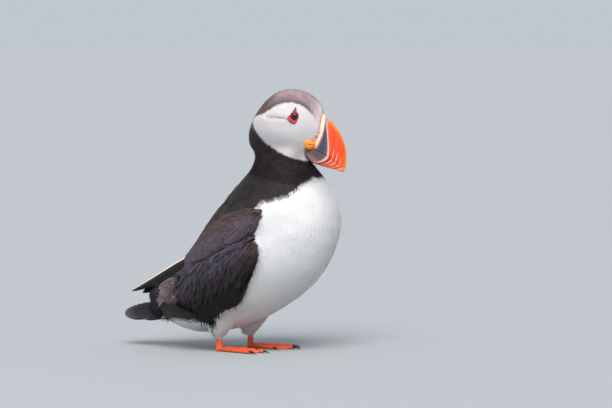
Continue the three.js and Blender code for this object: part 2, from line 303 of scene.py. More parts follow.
def featherMaterial(name, roughness, variation, sheen, gloss):
    material, tree, shader = newMaterial(name, roughness, Sheen_Weight=sheen, Sheen_Roughness=0.45,
                                         Specular_IOR_Level=gloss)
    colour = addNode(tree, "ShaderNodeAttribute", attribute_name="plumage")
    tinted, _ = speckle(tree, colour.outputs["Color"], 700, variation)
    tree.links.new(tinted, shader.inputs["Base Color"])
    return material


# the skin under the feathers replaces these nodes
flesh = ["head", "neck", "trunk"]
flesh += [f"{side}_{part}" for side in sides for part in ("wing_shoulder", "wing_coverts", "thigh")]
skinShape = {
    "swell": 0.3 * mm,  # closes the thin cuts between the solids before they are joined
    "voxel": 1.3 * mm,
    "smoothing": 24,
    "reach": 3.0 * mm,  # how far the regions of the coat melt into each other
    "eyeSink": -0.9 * mm,  # the eyes fill their sockets under the skin, this much inside their surface
}
coatDepth = {  # how far the coat stands over the skin in each region, in millimetres
    "head": 1.2, "neck": 2.4, "trunk": 2.6, "shoulder": 1.2, "coverts": 1.6, "thigh": 1.6,
}
regions = list(coatDepth)


def shareOf(shares, *names):  # how much each place belongs to some regions together
    return sum(shares[:, regions.index(name)] for name in names)


def closedCopy(name):  # a CAD node's loose triangles, merged
    bm = bmesh.new()
    bm.from_mesh(nodes[name].data)
    bmesh.ops.remove_doubles(bm, verts=bm.verts, dist=1e-6)
    bmesh.ops.recalc_face_normals(bm, faces=bm.faces)
    return bm


def smoothShell(name, bm, voxel, smoothing):  # everything in the bmesh, joined into one rounded skin
    holder = newThing(name, bm)
    remesh = holder.modifiers.new("remesh", "REMESH")
    remesh.mode = "VOXEL"
    remesh.voxel_size = voxel
    smooth = holder.modifiers.new("smooth", "SMOOTH")
    smooth.iterations = smoothing
    made = bpy.data.meshes.new_from_object(holder.evaluated_get(bpy.context.evaluated_depsgraph_get()))
    bpy.data.objects.remove(holder)
    return made


def makeSkinMesh():
    joined = bmesh.new()
    for name in flesh + ["left_eye", "right_eye"]:
        bm = closedCopy(name)
        bm.normal_update()
        for vert in bm.verts:
            vert.co += vert.normal * skinShape["swell" if name in flesh else "eyeSink"]
        grown = bpy.data.meshes.new(name)
        bm.to_mesh(grown)
        bm.free()
        joined.from_mesh(grown)
        bpy.data.meshes.remove(grown)
    return smoothShell("roughSkin", joined, skinShape["voxel"], skinShape["smoothing"])


def keepLargestShell(mesh):
    bm = bmesh.new()
    bm.from_mesh(mesh)
    bm.verts.ensure_lookup_table()
    unseen = set(bm.verts)
    shells = []
    while unseen:
        stack = [unseen.pop()]
        shell = list(stack)
        while stack:
            for edge in stack.pop().link_edges:
                for vert in edge.verts:
                    if vert in unseen:
                        unseen.discard(vert)
                        shell.append(vert)
                        stack.append(vert)
        shells.append(shell)
    shells.sort(key=len)
    spare = [vert for shell in shells[:-1] for vert in shell]
    bmesh.ops.delete(bm, geom=spare, context="VERTS")
    bmesh.ops.recalc_face_normals(bm, faces=bm.faces)
    bm.to_mesh(mesh)
    bm.free()


def readAll(items, field, width, kind=np.float32):  # one field of all of a mesh's elements, a row for each
    values = np.empty(len(items) * width, kind)
    items.foreach_get(field, values)
    return values.reshape(-1, width)


def readMesh(mesh):
    places, normals = (readAll(mesh.vertices, field, 3).astype(float) for field in ("co", "normal"))
    return places, unit(normals)


def regionShares(places):  # how much each place belongs to each region of the coat
    shares = np.zeros((len(places), len(regions)))
    spots = [Vector(place) for place in places]
    far = 0.02
    for name in flesh:
        bm = closedCopy(name)
        tree = BVHTree.FromBMesh(bm)
        bm.free()
        away = np.array([tree.find_nearest(spot, far)[3] or far for spot in spots])
        column = next(index for index, region in enumerate(regions) if name.endswith(region))
        shares[:, column] = np.maximum(shares[:, column], np.exp(-(away / skinShape["reach"]) ** 2) + 1e-9)
    return shares / shares.sum(1, keepdims=True)


folds = {  # lines in side view, millimetres, and how far the body sinks along them
    "crease": [(-17.3, 2.8), (-10, 6.8), (-3.4, 9.0)],  # runs back from the eye, in the head's frame
    "creaseDepth": 0.9,
    "creaseHalf": 0.9,
    "cheek": 0.5,  # how far the cheek swells under the crease
    "cheekPlace": 3.2,
    "cheekHalf": 2.4,
    "groove": [(31, 97), (24.5, 93), (17, 90), (9, 86.5), (0, 82), (-9, 77), (-18.6, 72.5), (-29, 69)],
    "grooveDepth": 1.7,  # between the wing's two lobes, in the bird's own frame
    "grooveHalf": 1.5,
}


faceEdge = [  # the pale face in the head's side view, millimetres: back corner, over the eye, bill, chin
    (-27.4, -5.0), (-20.6, 5.2), (-15.6, 14.6), (-8.6, 20.9), (-0.1, 23.9), (7.4, 23.1), (15.9, 19.8),
    (20.8, 15.2), (24.4, 8.0), (28.4, -2.0), (28.4, -8.5), (25.4, -12.2), (18.9, -14.2), (11.3, -15.6),
    (2.1, -16.3), (-7.4, -16.4), (-15.4, -14.0), (-23.0, -9.8),
]
faceLine = curveThrough(np.array(faceEdge) * mm, closed=True)


def insideFace(places):  # how far inside the pale face's edge, seen from the side
    local = inHead(places)
    inside = -distanceTo(faceLine, local[:, [0, 2]], closed=True)
    headReach = 36 * mm  # nothing farther off is on the face
    return np.where(np.linalg.norm(local, axis=1) < headReach, inside, -1)


billRoot = {  # where the feathers end at the bill, ridge to mouth and mouth to chin, in the head's frame
    "upper": [(16.8, 24.9), (18.2, 20.6), (20.6, 15.2), (22.8, 9.8), (23.8, 4.6), (24.2, -0.8)],
    "lower": [(24.0, -10.9), (24.3, -9.3), (24.6, -7.3), (24.9, -5.2), (25.2, -3.2), (25.4, -1.1)],
    "above": (13.0, 31.0),
    "chin": [(24.2, -12.2), (45, -13)],
    "tuck": 0.25,  # how much the skin narrows past it, to end inside the bill
    "axis": 5.0,
}
rootLine = curveThrough([billRoot["above"], *billRoot["upper"], *billRoot["lower"][::-1], *billRoot["chin"]])


def pastRoot(places):  # from 0 behind the feathers' edge at the bill to 1 well in front of it
    local = inHead(places) / mm
    ahead = smoothstep(0.4, 2.6, distanceTo(rootLine, local[:, [0, 2]])) * (np.abs(local[:, 0] - 25) < 15)
    return ahead * smoothstep(-11, -7, local[:, 2])


def tuckedSkin(places):
    local = inHead(places)
    middle = np.array([0, 0, billRoot["axis"] * mm])
    share = (billRoot["tuck"] * pastRoot(places))[:, None]
    local = local - (local - middle) * [0, 1, 1] * share
    return local @ headAxes.T + headSpot


def foldedSkin(outer, normals, shares):
    local = inHead(outer)[:, [0, 2]] / mm
    fromCrease = distanceTo(curveThrough(folds["crease"]), local)
    sink = folds["creaseDepth"] * bump(fromCrease, 0, folds["creaseHalf"])
    sink = sink - folds["cheek"] * bump(fromCrease, -folds["cheekPlace"], folds["cheekHalf"])
    sink = sink * shareOf(shares, "head")
    own = (outer - toRow)[:, [0, 2]] / mm
    wing = shareOf(shares, "shoulder", "coverts")
    fromGroove = distanceTo(curveThrough(folds["groove"]), own)
    sink = sink + wing * folds["grooveDepth"] * bump(fromGroove, 0, folds["grooveHalf"])
    return outer - normals * sink[:, None] * mm


def makeSkin():
    mesh = makeSkinMesh()
    keepLargestShell(mesh)
    outer, normals = readMesh(mesh)
    shares = regionShares(outer)
    outer = foldedSkin(outer, normals, shares)
    depth = shares @ np.array(list(coatDepth.values())) * mm
    depth = depth + (coatDepth["head"] * mm - depth) * smoothstep(-2.5 * mm, 0.5 * mm, insideFace(outer))
    depth = depth * (1 - 0.9 * pastRoot(outer))
    inner = tuckedSkin(outer - normals * depth[:, None])
    mesh.vertices.foreach_set("co", inner.astype(np.float32).ravel())
    mesh.update()
    skin = bpy.data.objects.new("skin", mesh)
    bpy.context.scene.collection.objects.link(skin)
    return skin, shares, depth


skin, skinShares, skinDepth = makeSkin()
print("skin:", len(skin.data.polygons), "faces")


# the markings, the same for the skin and the coat
plumage = {
    "breast": (0.86, 0.86, 0.87),
    "belly": (0.76, 0.745, 0.72),
    "collar": (0.024, 0.018, 0.020),
    "back": (0.036, 0.024, 0.027),
    "hind": (0.012, 0.0085, 0.011),
    "worn": (0.075, 0.044, 0.034),  # sun-browned feather edges
    "slate": (0.036, 0.028, 0.036),
    # partly the lower lobe's pale feather tips and partly a painted highlight on its lit top
    "comb": (0.085, 0.074, 0.100),
    "low": (0.004, 0.003, 0.003),  # the shaded wing edge
    "ruffled": (0.42, 0.35, 0.38),
    "crown": (0.43, 0.32, 0.345),
    "crownLow": (0.20, 0.125, 0.125),
    "forehead": (0.72, 0.62, 0.64),
    "crownEdge": (0.10, 0.062, 0.066),
    "face": (0.74, 0.71, 0.725),
    # painted shade for the face's lower, rear part
    "cheek": (0.46, 0.42, 0.445),
    "smudge": (0.30, 0.265, 0.235),
    # painted shade along the crease behind the eye
    "crease": (0.20, 0.16, 0.17),
}
colour = paints(plumage)
whiteEdge = [  # where white meets black along the body's side, front of the collar to the tail, millimetres
    (75, 153), (67, 149.5), (61.5, 139.5), (52, 126.8), (40.5, 121.6), (29, 119.2), (22, 108), (15, 84),
    (10, 62), (5, 45), (-5, 37), (-16, 31), (-25, 25), (-36, 23), (-56, 23), (-80, 22), (-110, 21),
]
whiteLine = curveThrough(np.array(whiteEdge) * mm)
creaseCurve = curveThrough(np.array(folds["crease"]) * mm)
grooveCurve = curveThrough(np.array(folds["groove"]) * mm)


def headColours(places):
    local = inHead(places)
    flat = local[:, [0, 2]]
    wander = softNoise(places, 1.6 * mm, 3) * 0.35 * mm
    inFace = insideFace(places) + wander
    aroundBack = np.degrees(np.arctan2(flat[:, 1] + 4 * mm, -flat[:, 0]))  # 0 at the nape, 90 on the crown
    crown = blend(colour["collar"], colour["crown"], smoothstep(24, 66, aroundBack))
    mottled = softNoise(places, 2.6 * mm, 15)
    lowCrown = smoothstep(10 * mm, 1.5 * mm, -inFace + 1.6 * mm * mottled)
    lowCrown = lowCrown * smoothstep(20 * mm, 8 * mm, flat[:, 0])
    crown = blend(crown, colour["crownLow"], lowCrown * 0.7)
    crown = blend(crown, colour["forehead"], smoothstep(4 * mm, 18 * mm, flat[:, 0]))
    edgeBand = smoothstep(3.4 * mm, 0.3 * mm, -inFace) * smoothstep(19 * mm, 3 * mm, flat[:, 0])
    crown = blend(crown, colour["crownEdge"], edgeBand * 0.85) * (1 + 0.12 * mottled[:, None])
    throat = smoothstep(-8 * mm, -15 * mm, flat[:, 1])
    crown = blend(crown, colour["collar"], throat)
    face = np.repeat(colour["face"], len(places), 0)
    # painted shade: the face darker over its lower, rear part
    lowFaceShade = smoothstep(3 * mm, -12 * mm, flat[:, 1]) * smoothstep(16 * mm, 2 * mm, flat[:, 0])
    face = blend(face, colour["cheek"], lowFaceShade * 0.6)
    smudge = bump(flat[:, 0], 17.5 * mm, 6 * mm) * bump(flat[:, 1], -11.5 * mm, 4.5 * mm)
    face = blend(face, colour["smudge"], smudge * (0.75 + 0.2 * mottled))
    # painted shade: a dark line along the sunk crease behind the eye
    face = blend(face, colour["crease"], bump(distanceTo(creaseCurve, flat), 0, 0.8 * mm) * 0.8)
    return crown, face, smoothstep(-0.45 * mm, 0.45 * mm, inFace)


def bodyColours(places):
    own = places - toRow
    flat = own[:, [0, 2]]
    ragged = softNoise(places, 2.2 * mm, 5) * 0.9 * mm + softNoise(places, 7 * mm, 6) * 1.2 * mm
    inWhite = distanceTo(whiteLine, flat) + ragged
    low = smoothstep(85 * mm, 20 * mm, own[:, 2])
    white = blend(colour["breast"], colour["belly"], low)
    white = white * (1 + 0.05 * softNoise(places, 9 * mm, 8)[:, None])
    toBack = smoothstep(135 * mm, 105 * mm, own[:, 2])
    hind = smoothstep(-42 * mm, -62 * mm, own[:, 0] + 0.6 * own[:, 2])
    black = blend(colour["collar"], colour["back"], toBack)
    worn = smoothstep(0.15, 0.75, softNoise(places, 5 * mm, 9)) * toBack * 0.45
    black = blend(black, colour["worn"], worn)
    black = blend(black, colour["hind"], hind)
    clumps = softNoise(own * [1, 1, 1.8], 3.2 * mm, 12) + 0.6 * softNoise(own * [1, 1, 2], 1.5 * mm, 13)
    black = black * (1 + 0.45 * clumps[:, None])
    return blend(black, white, smoothstep(-0.8 * mm, 0.8 * mm, inWhite))


def overLobe(own):  # height over the slanting line where the upper lobe turns brown, all in millimetres
    return (own[:, 2] - 96) - 0.42 * own[:, 0]


def wingColours(places):
    own = (places - toRow) / mm
    wornBlobs = smoothstep(0.0, 0.8, softNoise(places, 6 * mm, 11))
    groove = distanceTo(grooveCurve, own[:, [0, 2]] * mm) / mm  # positive under the groove, in the lower lobe
    under = smoothstep(0.5, 3.0, groove)
    # the lower lobe is lighter along its top under the groove: partly its pale feather tips, partly a painted
    # highlight
    comb = blend(colour["comb"], colour["slate"], smoothstep(5, 17, groove))
    # the lower lobe darkens toward its lower edge, a painted shade
    comb = blend(comb, colour["low"], smoothstep(13, 30, groove))
    front = smoothstep(16, 27, own[:, 0]) * smoothstep(22, 8, groove)
    comb = blend(comb, colour["worn"], np.clip(front * 0.6 + wornBlobs * 0.25, 0, 1))
    top = smoothstep(-1, 3, overLobe(own))
    rear = smoothstep(-20, -46, own[:, 0])
    worn = np.clip(0.8 * top + 0.5 * rear + 0.15 * wornBlobs, 0, 1)
    lobe = blend(colour["slate"], colour["worn"], worn)
    made = blend(lobe, comb, under)
    # painted shade in the groove between the wing's two lobes
    made = blend(made, colour["low"], bump(groove, -0.3, 1.5))
    fromPatch = np.hypot((own[:, 0] + 59) / 12, (own[:, 2] - 48) / 10)  # of ruffled feathers, behind the wing
    fromPatch = fromPatch + 0.5 * softNoise(places, 2 * mm, 14)
    streaks = smoothstep(-0.5, 0.5, softNoise(own * [0.35, 1, 1], 1.1, 16))
    made = blend(made, colour["ruffled"], smoothstep(1.2, 0.6, fromPatch) * streaks * 0.9)
    ribs = softNoise(own * [1, 1, 0.3], 1.5, 17) + 0.7 * softNoise(own * [1, 1, 0.4], 3.4, 18)
    return made * (1 + 0.5 * under * ribs)[:, None]


def markings(places, shares):
    made = bodyColours(places)
    made = blend(made, wingColours(places), smoothstep(0.35, 0.65, shareOf(shares, "shoulder", "coverts")))
    crown, face, inFace = headColours(places)
    made = blend(made, crown, smoothstep(0.3, 0.6, shareOf(shares, "head")))
    return blend(made, face, inFace)


flow = [  # along the bird, in millimetres: a place on its middle, and the way the feathers point there
    ((28, 165), (-0.10, -1.0)),
    ((30, 140), (-0.15, -1.0)),
    ((35, 110), (-0.35, -1.0)),
    ((25, 80), (-0.85, -0.75)),
    ((0, 60), (-1.0, -0.45)),
    ((-40, 45), (-1.0, -0.28)),
    ((-85, 34), (-1.0, -0.22)),
]
wingLie = {  # which way the wing's feathers point, seen from the side
    "shoulder": (-0.865, -0.50),
    "covertsTop": (-0.52, -0.85),
    "covertsEdge": (-0.14, -0.99),
    "topFront": (24.6, 92.5),  # the lower lobe's upper edge, front and back, x and z in millimetres
    "topBack": (-68.6, 49.0),
    "deep": 46,
}


def inSide(way):  # a way along the bird's side, ahead and up, as one row of three
    return np.array([[way[0], 0, way[1]]])


def underLobe(own):  # how far places lie under the lower lobe's upper edge, all in millimetres
    (frontX, frontZ), (backX, backZ) = wingLie["topFront"], wingLie["topBack"]
    return (backZ + (own[:, 0] - backX) * (frontZ - backZ) / (frontX - backX)) - own[:, 2]


def flatOn(normals, ways):  # ways laid down onto the surface
    return unit(ways - normals * (ways * normals).sum(1, keepdims=True))


def lieOfCoat(places, normals, shares):
    own = (places - toRow) / mm
    along = np.zeros_like(places)
    melting = 9  # how softly one stretch of the flow turns into the next, in millimetres
    for (x, z), way in flow:
        away = (own[:, 0] - x) ** 2 + (own[:, 2] - z) ** 2
        along += unit(inSide(way)) / (away + melting ** 2)[:, None] ** 1.5
    billMiddle = np.array(headMatrix @ (Vector((25, 0, 4)) * mm))
    along = blend(unit(along), unit(places - billMiddle), smoothstep(0.1, 0.8, shareOf(shares, "head")))
    down = np.clip(underLobe(own) / wingLie["deep"], 0, 1) ** 0.7
    covertLie = unit(blend(inSide(wingLie["covertsTop"]), inSide(wingLie["covertsEdge"]), down))
    along = blend(unit(along), covertLie, shareOf(shares, "coverts"))
    along = unit(blend(along, inSide(wingLie["shoulder"]), shareOf(shares, "shoulder")))
    return flatOn(normals, along)


def unwrapSkin():  # the map that the skin and every tuft share
    skin.data.uv_layers.new(name="OFBake")
    bpy.context.view_layer.objects.active = skin
    skin.select_set(True)
    bpy.ops.object.mode_set(mode="EDIT")
    bpy.ops.mesh.select_all(action="SELECT")
    bpy.ops.uv.smart_project(angle_limit=math.radians(72), island_margin=0.004)
    bpy.ops.object.mode_set(mode="OBJECT")
    skin.select_set(False)


def readSkin():
    mesh = skin.data
    corners = readAll(mesh.loops, "vertex_index", 1, np.int32)[:, 0]
    sizes, starts = (readAll(mesh.polygons, field, 1, np.int32) for field in ("loop_total", "loop_start"))
    uv = readAll(mesh.uv_layers["OFBake"].data, "uv", 2)
    square = starts[sizes[:, 0] == 4] + np.arange(4)
    return *readMesh(mesh), corners[square], uv[square].astype(float)


unwrapSkin()
skinPlaces, skinNormals, skinQuads, skinUv = readSkin()
quadShares = skinShares[skinQuads].mean(1)
quadRegion = quadShares.argmax(1)
quadPlaces = skinPlaces[skinQuads].mean(1)
coatTree = BVHTree.FromPolygons([Vector(place) for place in skinPlaces + skinNormals * skinDepth[:, None]],
                                skinQuads.tolist())  # the surface that the tips of the coat reach
print("skin unwrapped:", len(skinQuads), "quads")


def evenNormals(rounds=24):  # over the trunk the coat's light runs evenly across the skin's small steps
    even = skinNormals
    for _ in range(rounds):
        across = even[skinQuads].sum(1)
        gathered = np.zeros_like(even)
        for corner in range(4):
            np.add.at(gathered, skinQuads[:, corner], across)
        even = unit(gathered)
    onTrunk = smoothstep(0.4, 0.9, shareOf(skinShares, "trunk"))
    return unit(blend(skinNormals, even, onTrunk))


coatNormals = evenNormals()


def rootsIn(chosen, perQuad=1.0):  # places on some of the skin's quads that feathers grow from
    copies = np.repeat(chosen, max(1, int(np.ceil(perQuad))))
    if perQuad % 1:
        copies = copies[dice.random(len(copies)) < perQuad / np.ceil(perQuad)]
    x, y = dice.random((2, len(copies)))
    corner = np.stack([(1 - x) * (1 - y), x * (1 - y), x * y, (1 - x) * y], 1)
    quads = skinQuads[copies]

    def mixed(values):
        return (values * corner[..., None]).sum(1)

    roots = {
        "place": mixed(skinPlaces[quads]),
        "normal": unit(mixed(coatNormals[quads])),
        "shares": mixed(skinShares[quads]),
        "depth": (skinDepth[quads] * corner).sum(1),
        "uv": mixed(skinUv[copies]),
    }
    roots["along"] = lieOfCoat(roots["place"], roots["normal"], roots["shares"])
    return roots


def onlySome(roots, keep):
    return {key: values[keep] for key, values in roots.items()}


def meshOfTriangles(name, verts, triangles, colours, uv, normals):
    mesh = bpy.data.meshes.new(name)
    mesh.vertices.add(len(verts))
    mesh.vertices.foreach_set("co", verts.astype(np.float32).ravel())
    mesh.loops.add(len(triangles) * 3)
    mesh.loops.foreach_set("vertex_index", triangles.astype(np.int32).ravel())
    mesh.polygons.add(len(triangles))
    mesh.polygons.foreach_set("loop_start", np.arange(len(triangles), dtype=np.int32) * 3)
    mesh.update(calc_edges=True)
    paintMesh(mesh, "plumage", np.clip(colours, 0, 1))
    for layerName, places in uv.items():
        layer = mesh.uv_layers.new(name=layerName)
        layer.data.foreach_set("uv", places[triangles.ravel()].astype(np.float32).ravel())
    mesh.shade_smooth()
    mesh.normals_split_custom_set_from_vertices(normals.astype(np.float32))
    return bpy.data.objects.new(name, mesh)


pieceLimit = 185000  # triangles in one piece of the coat
mapPatch = 0.003  # the side of each tuft's or vane's patch on the skin's map


def layInPieces(name, grids, triangles, uv, material, slotName):
    # grids hold each feather's vertices, colours and normals; triangles are those of one feather
    count, limit = len(grids[0]), pieceLimit // len(triangles)
    made = []
    for part, begin in enumerate(range(0, count, limit)):
        some = slice(begin, min(begin + limit, count))
        verts, colours, normals = (grid[some].reshape(-1, 3) for grid in grids)
        perFeather = len(verts) // (some.stop - some.start)
        faces = triangles[None] + (np.arange(some.stop - some.start) * perFeather)[:, None, None]
        maps = {key: layer[some].reshape(-1, 2) for key, layer in uv.items()}
        label = name if count <= limit else f"{name}{part + 1}"
        piece = meshOfTriangles(label, verts, faces.reshape(-1, 3), colours, maps, normals)
        piece.data.materials.append(material)
        finishPiece(piece, slotName)
        made.append(piece)
    print(f"{name}: {count} feathers, {count * len(triangles)} triangles")
    return made


def growTufts(name, roots, look, material, slotName):  # tufts of a few fine strands side by side
    count, strands = len(roots["place"]), look["strands"]
    stations = np.array(look.get("stations", (0, 0.38, 0.74, 1.0)))  # where each strand bends, root to tip
    profile = look.get("profile", (0.75, 1.0, 0.7))  # its width at each of them but the tip
    steps = len(stations)
    perStrand = 2 * (steps - 1) + 1
    grid = (count, strands)
    normal = roots["normal"][:, None, :]
    along = roots["along"][:, None, :]
    side = np.cross(normal, along)
    lane = (np.arange(strands) / max(strands - 1, 1) - 0.5)[None, :] * np.ones(grid)
    turn = np.radians(lane * look["splay"] + dice.normal(0, look["unruly"], grid))[..., None]
    heading = along * np.cos(turn) + side * np.sin(turn)
    across = side * np.cos(turn) - along * np.sin(turn)
    size = roots.get("size", np.ones(count))[:, None]
    length = look["length"] * size * (1 - 0.3 * (2 * lane) ** 2) * dice.uniform(0.8, 1.12, grid)
    loose = look.get("loose", 0.3)  # how unevenly the strands stand up
    rise = roots["depth"][:, None] * dice.uniform(1.03 - loose, 1.03, grid)
    rise = rise + look.get("lift", 0.0) * size * dice.uniform(0, 1, grid)
    start = roots["place"][:, None, :] + side * (lane * look["spread"] * size)[..., None] - normal * 0.25 * mm
    bend = look.get("bend", 1 / (110 * mm))  # how fast the surface falls away under a tuft
    tilt = np.radians(dice.normal(0, look.get("roll", 12), grid))[..., None]
    face = across * np.cos(tilt) + normal * np.sin(tilt)
    verts = np.empty((*grid, perStrand, 3))
    shades = np.empty((*grid, perStrand))
    shading = np.empty((*grid, perStrand, 3))
    lean = look.get("lean", 0.35)
    tone = look.get("rootShade", 0.72)
    for step, share in enumerate(stations):
        reach = length * share
        height = rise * (1 - (1 - share) ** 1.7) - bend * reach ** 2
        point = start + heading * reach[..., None] + normal * height[..., None]
        # each strand is painted darker toward its root, a painted shade of the coat lying over it
        shade = tone + (1 - tone) * share ** 0.8
        if step == steps - 1:
            verts[:, :, -1] = point
            shades[:, :, -1] = shade
            shading[:, :, -1] = normal + heading * 0.15
            continue
        half = (look["width"] / 2 * profile[step]) * np.sqrt(size)[..., None]
        verts[:, :, 2 * step] = point - face * half
        verts[:, :, 2 * step + 1] = point + face * half
        shades[:, :, 2 * step:2 * step + 2] = shade
        shading[:, :, 2 * step] = normal - across * lean
        shading[:, :, 2 * step + 1] = normal + across * lean
    shown = roots["place"] + roots["normal"] * roots["depth"][:, None] + roots["along"] * look["length"] * 0.6
    marked = markings(shown, roots["shares"])
    pale = smoothstep(0.25, 0.55, marked.max(1))[:, None]  # pale feathers are even down to their roots
    strandTone = 1 + dice.normal(0, look["variation"], grid) * (1 - 0.8 * pale)
    shades = shades + (1 - shades) * (0.85 * pale)[..., None]
    colours = marked[:, None, None, :] * (shades * strandTone[..., None])[..., None]
    strand = []
    for left in range(0, 2 * steps - 4, 2):
        strand += [(left, left + 3, left + 1), (left, left + 2, left + 3)]
    strand = np.array([*strand, (2 * steps - 4, 2 * steps - 2, 2 * steps - 3)])
    triangles = (strand[None] + (np.arange(strands) * perStrand)[:, None, None]).reshape(-1, 3)
    patch = np.zeros((perStrand, 2))
    patch[:-1, 0] = np.repeat(stations[:-1], 2) - 0.5
    patch[-1] = (0.5, 0.5)
    patch[1:-1:2, 1] = 1
    uv = np.repeat(roots["uv"][:, None, :], strands, 1)[:, :, None, :] + patch[None, None] * [mapPatch, 0]
    uv[..., 1] += ((np.arange(strands)[:, None] + patch[:, 1]) / strands - 0.5)[None] * mapPatch
    layInPieces(name, (verts, colours, unit(shading)), triangles, {"OFBake": uv}, material, slotName)


softFeather = featherMaterial("softFeather", 0.72, 0.05, 0.12, 0.3)
darkFeather = featherMaterial("darkFeather", 0.62, 0.12, 0.0, 0.14)

skinColours = markings(skinPlaces + skinNormals * skinDepth[:, None], skinShares)
skinColours = skinColours * (0.55 + 0.5 * skinColours.max(1, keepdims=True))  # painted shade under the coat: the skin darker than the feathers over it, most under the dark ones
paintMesh(skin.data, "plumage", skinColours)
skin.data.materials.clear()
skin.data.materials.append(softFeather)
skin.data.shade_smooth()

# each kind of tuft: its strands and their sizes, how unruly they are, how their tones vary, and how much
# painted shade darkens their roots
headLook = {"strands": 3, "length": 3.0 * mm, "width": 0.38 * mm, "spread": 0.62 * mm, "splay": 22,
            "unruly": 5, "variation": 0.03, "rootShade": 0.93, "roll": 5, "lean": 0.14, "loose": 0.10,
            "stations": (0, 0.5, 1.0), "profile": (0.9, 0.9), "bend": 1 / (60 * mm)}
bodyLook = {"strands": 4, "length": 7.5 * mm, "width": 0.56 * mm, "spread": 1.7 * mm, "splay": 28,
            "unruly": 5, "variation": 0.025, "rootShade": 0.94, "roll": 5, "lean": 0.14, "loose": 0.09}
darkLook = {"strands": 4, "length": 5.0 * mm, "width": 0.45 * mm, "spread": 1.4 * mm, "splay": 34,
            "unruly": 10, "variation": 0.22, "rootShade": 0.5}
covertLook = {"strands": 4, "length": 10.5 * mm, "width": 0.44 * mm, "spread": 1.5 * mm, "splay": 16,
              "unruly": 9, "variation": 0.50, "rootShade": 0.6, "lift": 0.9 * mm, "bend": 1 / (38 * mm),
              "over": 0.8 * mm}  # how far it stands over the wing's vanes

inRegion = {name: quadRegion == index for index, name in enumerate(regions)}
onFace = insideFace(quadPlaces) > -0.3 * mm
inWhite = bodyColours(quadPlaces).max(1) > 0.3
headQuads = np.flatnonzero(inRegion["head"] | onFace)
neckQuads = np.flatnonzero(inRegion["neck"] & ~inWhite & ~onFace)
trunkQuads = np.flatnonzero((inRegion["trunk"] | (inRegion["neck"] & inWhite)) & ~onFace)
thighQuads, shoulderQuads, covertQuads = (
    np.flatnonzero(inRegion[name]) for name in ("thigh", "shoulder", "coverts"))
lobeEdge = [  # the lower lobe's front and lower edge in side view, millimetres
    (25, 94), (27.5, 84), (26.5, 74), (20.8, 61.8), (14.2, 52), (7.3, 42.5), (0, 38.5), (-10, 34.5),
    (-20, 31), (-40, 34), (-66, 41), (-80, 45),
]
lobeLine = curveThrough(lobeEdge)


def withinLobe(places, along, length):  # what share of its length a feather keeps, to end at the wing's edge
    kept = np.ones(len(places))
    for share in np.arange(1.0, 0.15, -0.1):
        tip = (places + along * (length * share) - toRow)[:, [0, 2]] / mm
        over = distanceTo(lobeLine, tip) > 0.4
        kept[over] = share - 0.1
    return kept


growTufts("collarCoat", rootsIn(neckQuads), darkLook, darkFeather, "black_feathers")
growTufts("bodyCoat", rootsIn(trunkQuads), bodyLook, softFeather, "white_feathers")
growTufts("thighCoat", rootsIn(thighQuads), bodyLook, softFeather, "white_feathers")
growTufts("shoulderCoat", rootsIn(shoulderQuads), darkLook, darkFeather, "black_feathers")
covertRoots = rootsIn(covertQuads)
covertRoots["size"] = withinLobe(covertRoots["place"], covertRoots["along"], covertLook["length"])
covertRoots["depth"] = covertRoots["depth"] + covertLook["over"] * covertRoots["size"]
covertRoots = onlySome(covertRoots, covertRoots["size"] > 0.12)
growTufts("covertCoat", covertRoots, covertLook, darkFeather, "black_feathers")


def readAt(stations, at):  # a smooth way through a few arrays, read at any place between them
    stations = np.array(stations, float)
    padded = np.concatenate([2 * stations[:1] - stations[1:2], stations, 2 * stations[-1:] - stations[-2:-1]])
    step = np.clip(np.floor(at).astype(int), 0, len(stations) - 2)
    share = np.clip(at - step, 0, 1)
    share = share.reshape(share.shape + (1,) * (stations.ndim - 1))
    return between(*(padded[step + shift] for shift in range(4)), share)


def shapedGrid(name, lengthwise, around, shape, material, slotName, *replaced):
    # a small closed piece: shape gives the place and colour of each vertex of a grid, from its two shares
    bm = bmesh.new()
    bmesh.ops.create_grid(bm, x_segments=lengthwise, y_segments=around, size=1)
    flat = np.array([vert.co[:2] for vert in bm.verts]) / 2 + 0.5
    places, colours = shape(flat[:, 0], flat[:, 1])
    paint = bm.verts.layers.float_color.new("paint")
    for vert, place, tint in zip(bm.verts, places, colours):
        vert.co = place
        vert[paint] = (*np.clip(tint, 0, 1), 1)
    bmesh.ops.remove_doubles(bm, verts=bm.verts, dist=2e-6)
    rims = [edge for edge in bm.edges if edge.is_boundary]
    if rims:
        bmesh.ops.holes_fill(bm, edges=rims, sides=0)
    bmesh.ops.recalc_face_normals(bm, faces=bm.faces)
    piece = newThing(name, bm)
    piece.data.shade_smooth()
    piece.data.materials.append(material)
    finishPiece(piece, slotName, *replaced)


def paintedMaterial(name, roughness, grain, grainSize, bump=0.0, **sockets):
    material, tree, shader = newMaterial(name, roughness, **sockets)
    colour = addNode(tree, "ShaderNodeAttribute", attribute_name="paint")
    tinted, pattern = speckle(tree, colour.outputs["Color"], grainSize, grain)
    tree.links.new(tinted, shader.inputs["Base Color"])
    if bump:
        relief = addNode(tree, "ShaderNodeBump", Strength=bump, Distance=0.0004)
        tree.links.new(pattern, relief.inputs["Height"])
        tree.links.new(relief.outputs["Normal"], shader.inputs["Normal"])
    return material


hornMaterial = paintedMaterial("billHorn", 0.38, 0.07, 420, 0.12, Coat_Weight=0.12, Coat_Roughness=0.22,
                               Specular_IOR_Level=0.35)
fleshMaterial = paintedMaterial("bareSkin", 0.5, 0.10, 900, 0.35, Coat_Weight=0.15, Coat_Roughness=0.3,
                                Subsurface_Weight=0.15, Subsurface_Radius=(0.0015, 0.0007, 0.0003))
eyeMaterial = paintedMaterial("eye", 0.04, 0.1, 900, 0.0)


